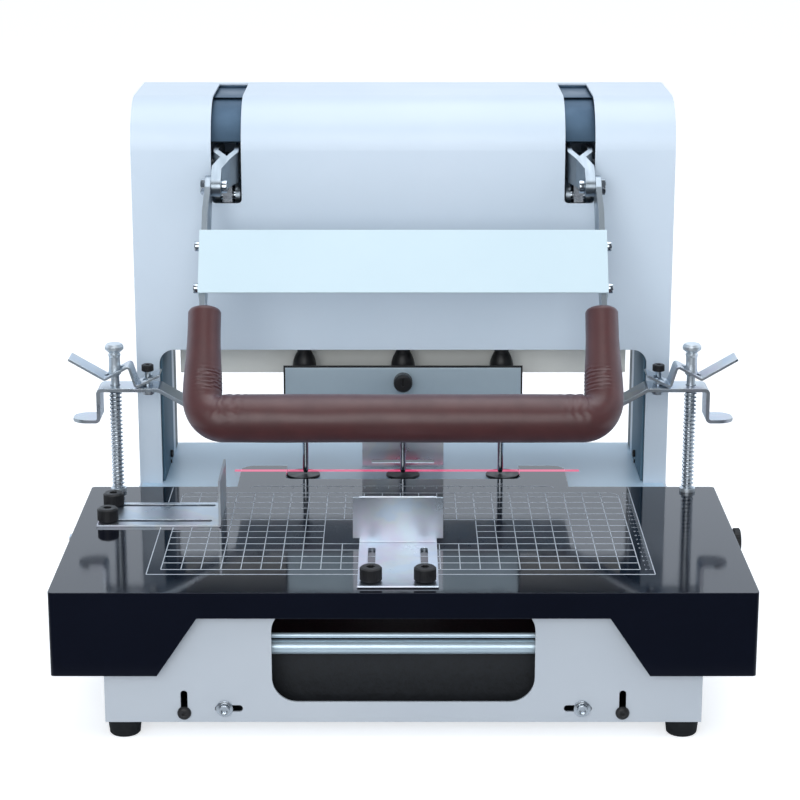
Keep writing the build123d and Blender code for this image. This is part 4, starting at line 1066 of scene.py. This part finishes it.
RULE_MIDDLE = -2
RULE_REACH = 120
for place in range(-11, 12):
    marks.append(number_mesh(abs(place), RULE_MIDDLE + 10 * place, REAR_RULE_Y - 5, 4))
marks.append(ink(25, (RULE_MIDDLE - RULE_REACH, REAR_RULE_Y - 1.4), (10, 0), (0.4, 2.4)))
marks.append(ink(121, (RULE_MIDDLE - RULE_REACH, REAR_RULE_Y - 0.9), (2, 0), (0.25, 1.4)))
RIGHT_RULE_X = FRAME_X[1]
marks.append(ink(96, (RIGHT_RULE_X - 1.4, GRID_FRONT), (0, 2), (2.4, 0.25)))
marks.append(ink(20, (RIGHT_RULE_X - 2, GRID_FRONT), (0, 10), (3.6, 0.4)))
for place in range(20):
    marks.append(number_mesh(place, RIGHT_RULE_X - 5.8, GRID_FRONT + 10 * place, 3.6))
POINTERS = (-83.6, -1.2, 81.3)
POINTER_Y = (63, 67)
POINTER_HALF = 2.4
for x in POINTERS:
    shape = bmesh.new()
    corners = ((x, POINTER_Y[0]), (x - POINTER_HALF, POINTER_Y[1]), (x + POINTER_HALF, POINTER_Y[1]))
    shape.faces.new([shape.verts.new(Vector((*corner, INK_Z)) * MM) for corner in corners])
    marks.append(closed_mesh(shape, "pointer"))
marking_mesh = joined(marks, "table_markings")
markings = new_piece("table_markings", marking_mesh, WHITE_INK, "machine")
print("marking faces:", len(markings.data.polygons))

# %% [markdown]
# ## Knurled heads
# The operator turns the screws of the front stop and the side fence, the guard's knob, the straps'
# screws and the table's knob by hand, so their rims are knurled.

# %% Knurls
def knurled(name, body, at, axis, radius, height, ridges):
    """Fine ridges round a head whose middle is at a point."""
    turn = Vector(axis).to_track_quat("Z", "Y").to_matrix().to_4x4()
    ridge = Vector((0.7, math.pi * radius / ridges * 0.95, height)) * MM
    mesh = grow(KNURL, BLACK_PLASTIC, Ridges=ridges, Radius=radius * MM, Ridge=ridge)
    mesh.transform(Matrix.Translation(Vector(at) * MM) @ turn)
    new_piece("knurl_" + name, mesh, None, body)


THUMB_SCREWS = {"stop_left": (-24, -180), "stop_right": (16, -180),
                "fence_front": (-235, -38.5), "fence_rear": (-235, 1.5)}
for name, (x, y) in THUMB_SCREWS.items():
    knurled(name, "thumb_screw_" + name, (x, y, 126.5), UP, 7.95, 8.6, 40)
knurled("guard", "guard_knob", (0, 66.5, 207), FRONT, 7.45, 6.5, 36)
for side, side_name in ((-1, "left"), (1, "right")):
    knurled("strap_" + side_name, "presser", (side * STRAP_SCREW[0], ROD_Y, 224.7), UP, 4.6, 4.6, 24)
knurled("table_knob", "table_knob", (268, -24.5, 99), (1, 0, 0), 10.4, 4.4, 30)

# %% [markdown]
# ## Room for the light
# The photograph has a white ground with hardly a shadow. The floor and the world are shown white to
# the camera, and reflections see that white behind the machine too. Toward the front the white
# sheet ends and the studio is dark, which is why the table's apron looks black. The object itself
# is lit by three plain soft lamps.

# %% Floor, world and lamps
floor_shape = bmesh.new()
bmesh.ops.create_grid(floor_shape, x_segments=1, y_segments=1, size=30)
floor_mesh = bpy.data.meshes.new("floor")
floor_shape.to_mesh(floor_mesh)
floor_shape.free()
floor = bpy.data.objects.new("floor", floor_mesh)
scene.collection.objects.link(floor)
floor_material = bpy.data.materials.new("floor")
floor_material.use_nodes = True
floor_tree = floor_material.node_tree
floor_shader = floor_tree.nodes["Principled BSDF"]
floor_shader.inputs["Roughness"].default_value = 0.9
floor_shader.inputs["Emission Color"].default_value = (1, 1, 1, 1)
SHEET_END = (-0.22, -0.36)
FLOOR_GLOW = 0.6
NEAR_WHITE = (0.82, 0.83, 0.84, 1)
DARK_ROOM = (0.04, 0.045, 0.055, 1)
seen = add(floor_tree, "ShaderNodeLightPath").outputs
sheet_end = add(floor_tree, "ShaderNodeMapRange", Value=split_place(floor_tree, "Object")["Y"],
                From_Min=SHEET_END[0], From_Max=SHEET_END[1])
mirrored_front = product(floor_tree, sheet_end.outputs["Result"], seen["Is Glossy Ray"])
floor_colour = mix_colours(floor_tree, mirrored_front, NEAR_WHITE, DARK_ROOM)
put(floor_tree, floor_colour, floor_shader.inputs["Base Color"])
glow_share = product(floor_tree, seen["Is Camera Ray"], FLOOR_GLOW)
put(floor_tree, glow_share, floor_shader.inputs["Emission Strength"])
floor_mesh.materials.append(floor_material)

world = bpy.data.worlds.new("studio")
scene.world = world
world.use_nodes = True
sky_tree = world.node_tree
sky = sky_tree.nodes["Background"]
rays = add(sky_tree, "ShaderNodeLightPath").outputs
# Mirrors see a dark studio in front and the white ground behind, the rest sees an even level.
mirror_level = add(sky_tree, "ShaderNodeMapRange", Value=split_place(sky_tree, "Generated")["Y"],
                   From_Min=-0.35, From_Max=0.25, To_Min=0.14, To_Max=1.25)
light_level = mix_numbers(sky_tree, rays["Is Glossy Ray"], 0.5, mirror_level.outputs["Result"])
level = mix_numbers(sky_tree, rays["Is Camera Ray"], light_level, 1.0)
put(sky_tree, level, sky.inputs["Strength"])
COOL = (0.86, 0.95, 1.06, 1)
SHOWN = (0.98, 0.99, 1.0, 1)
sky_tint = mix_colours(sky_tree, rays["Is Camera Ray"], COOL, SHOWN)
put(sky_tree, sky_tint, sky.inputs["Color"])


def soft_lamp(name, place, aim, size, power, tint):
    """A square lamp that looks at a point."""
    lamp = bpy.data.lights.new(name, "AREA")
    lamp.shape = "RECTANGLE"
    lamp.size = size[0]
    lamp.size_y = size[1]
    lamp.energy = power
    lamp.color = tint
    holder = bpy.data.objects.new(name, lamp)
    holder.location = place
    holder.rotation_euler = (Vector(aim) - Vector(place)).to_track_quat("-Z", "Y").to_euler()
    scene.collection.objects.link(holder)


soft_lamp("top_lamp", (0.1, -0.1, 2.4), (0, 0, 0.2), (2.4, 1.8), 23, (0.98, 0.99, 1.0))
soft_lamp("front_lamp", (-0.5, -2.8, 1.1), (0, 0, 0.25), (2.4, 1.9), 43, (0.97, 0.988, 1.0))
soft_lamp("side_lamp", (2.2, -0.9, 1.5), (0, 0, 0.2), (1.2, 1.0), 4, (0.97, 0.98, 1.0))
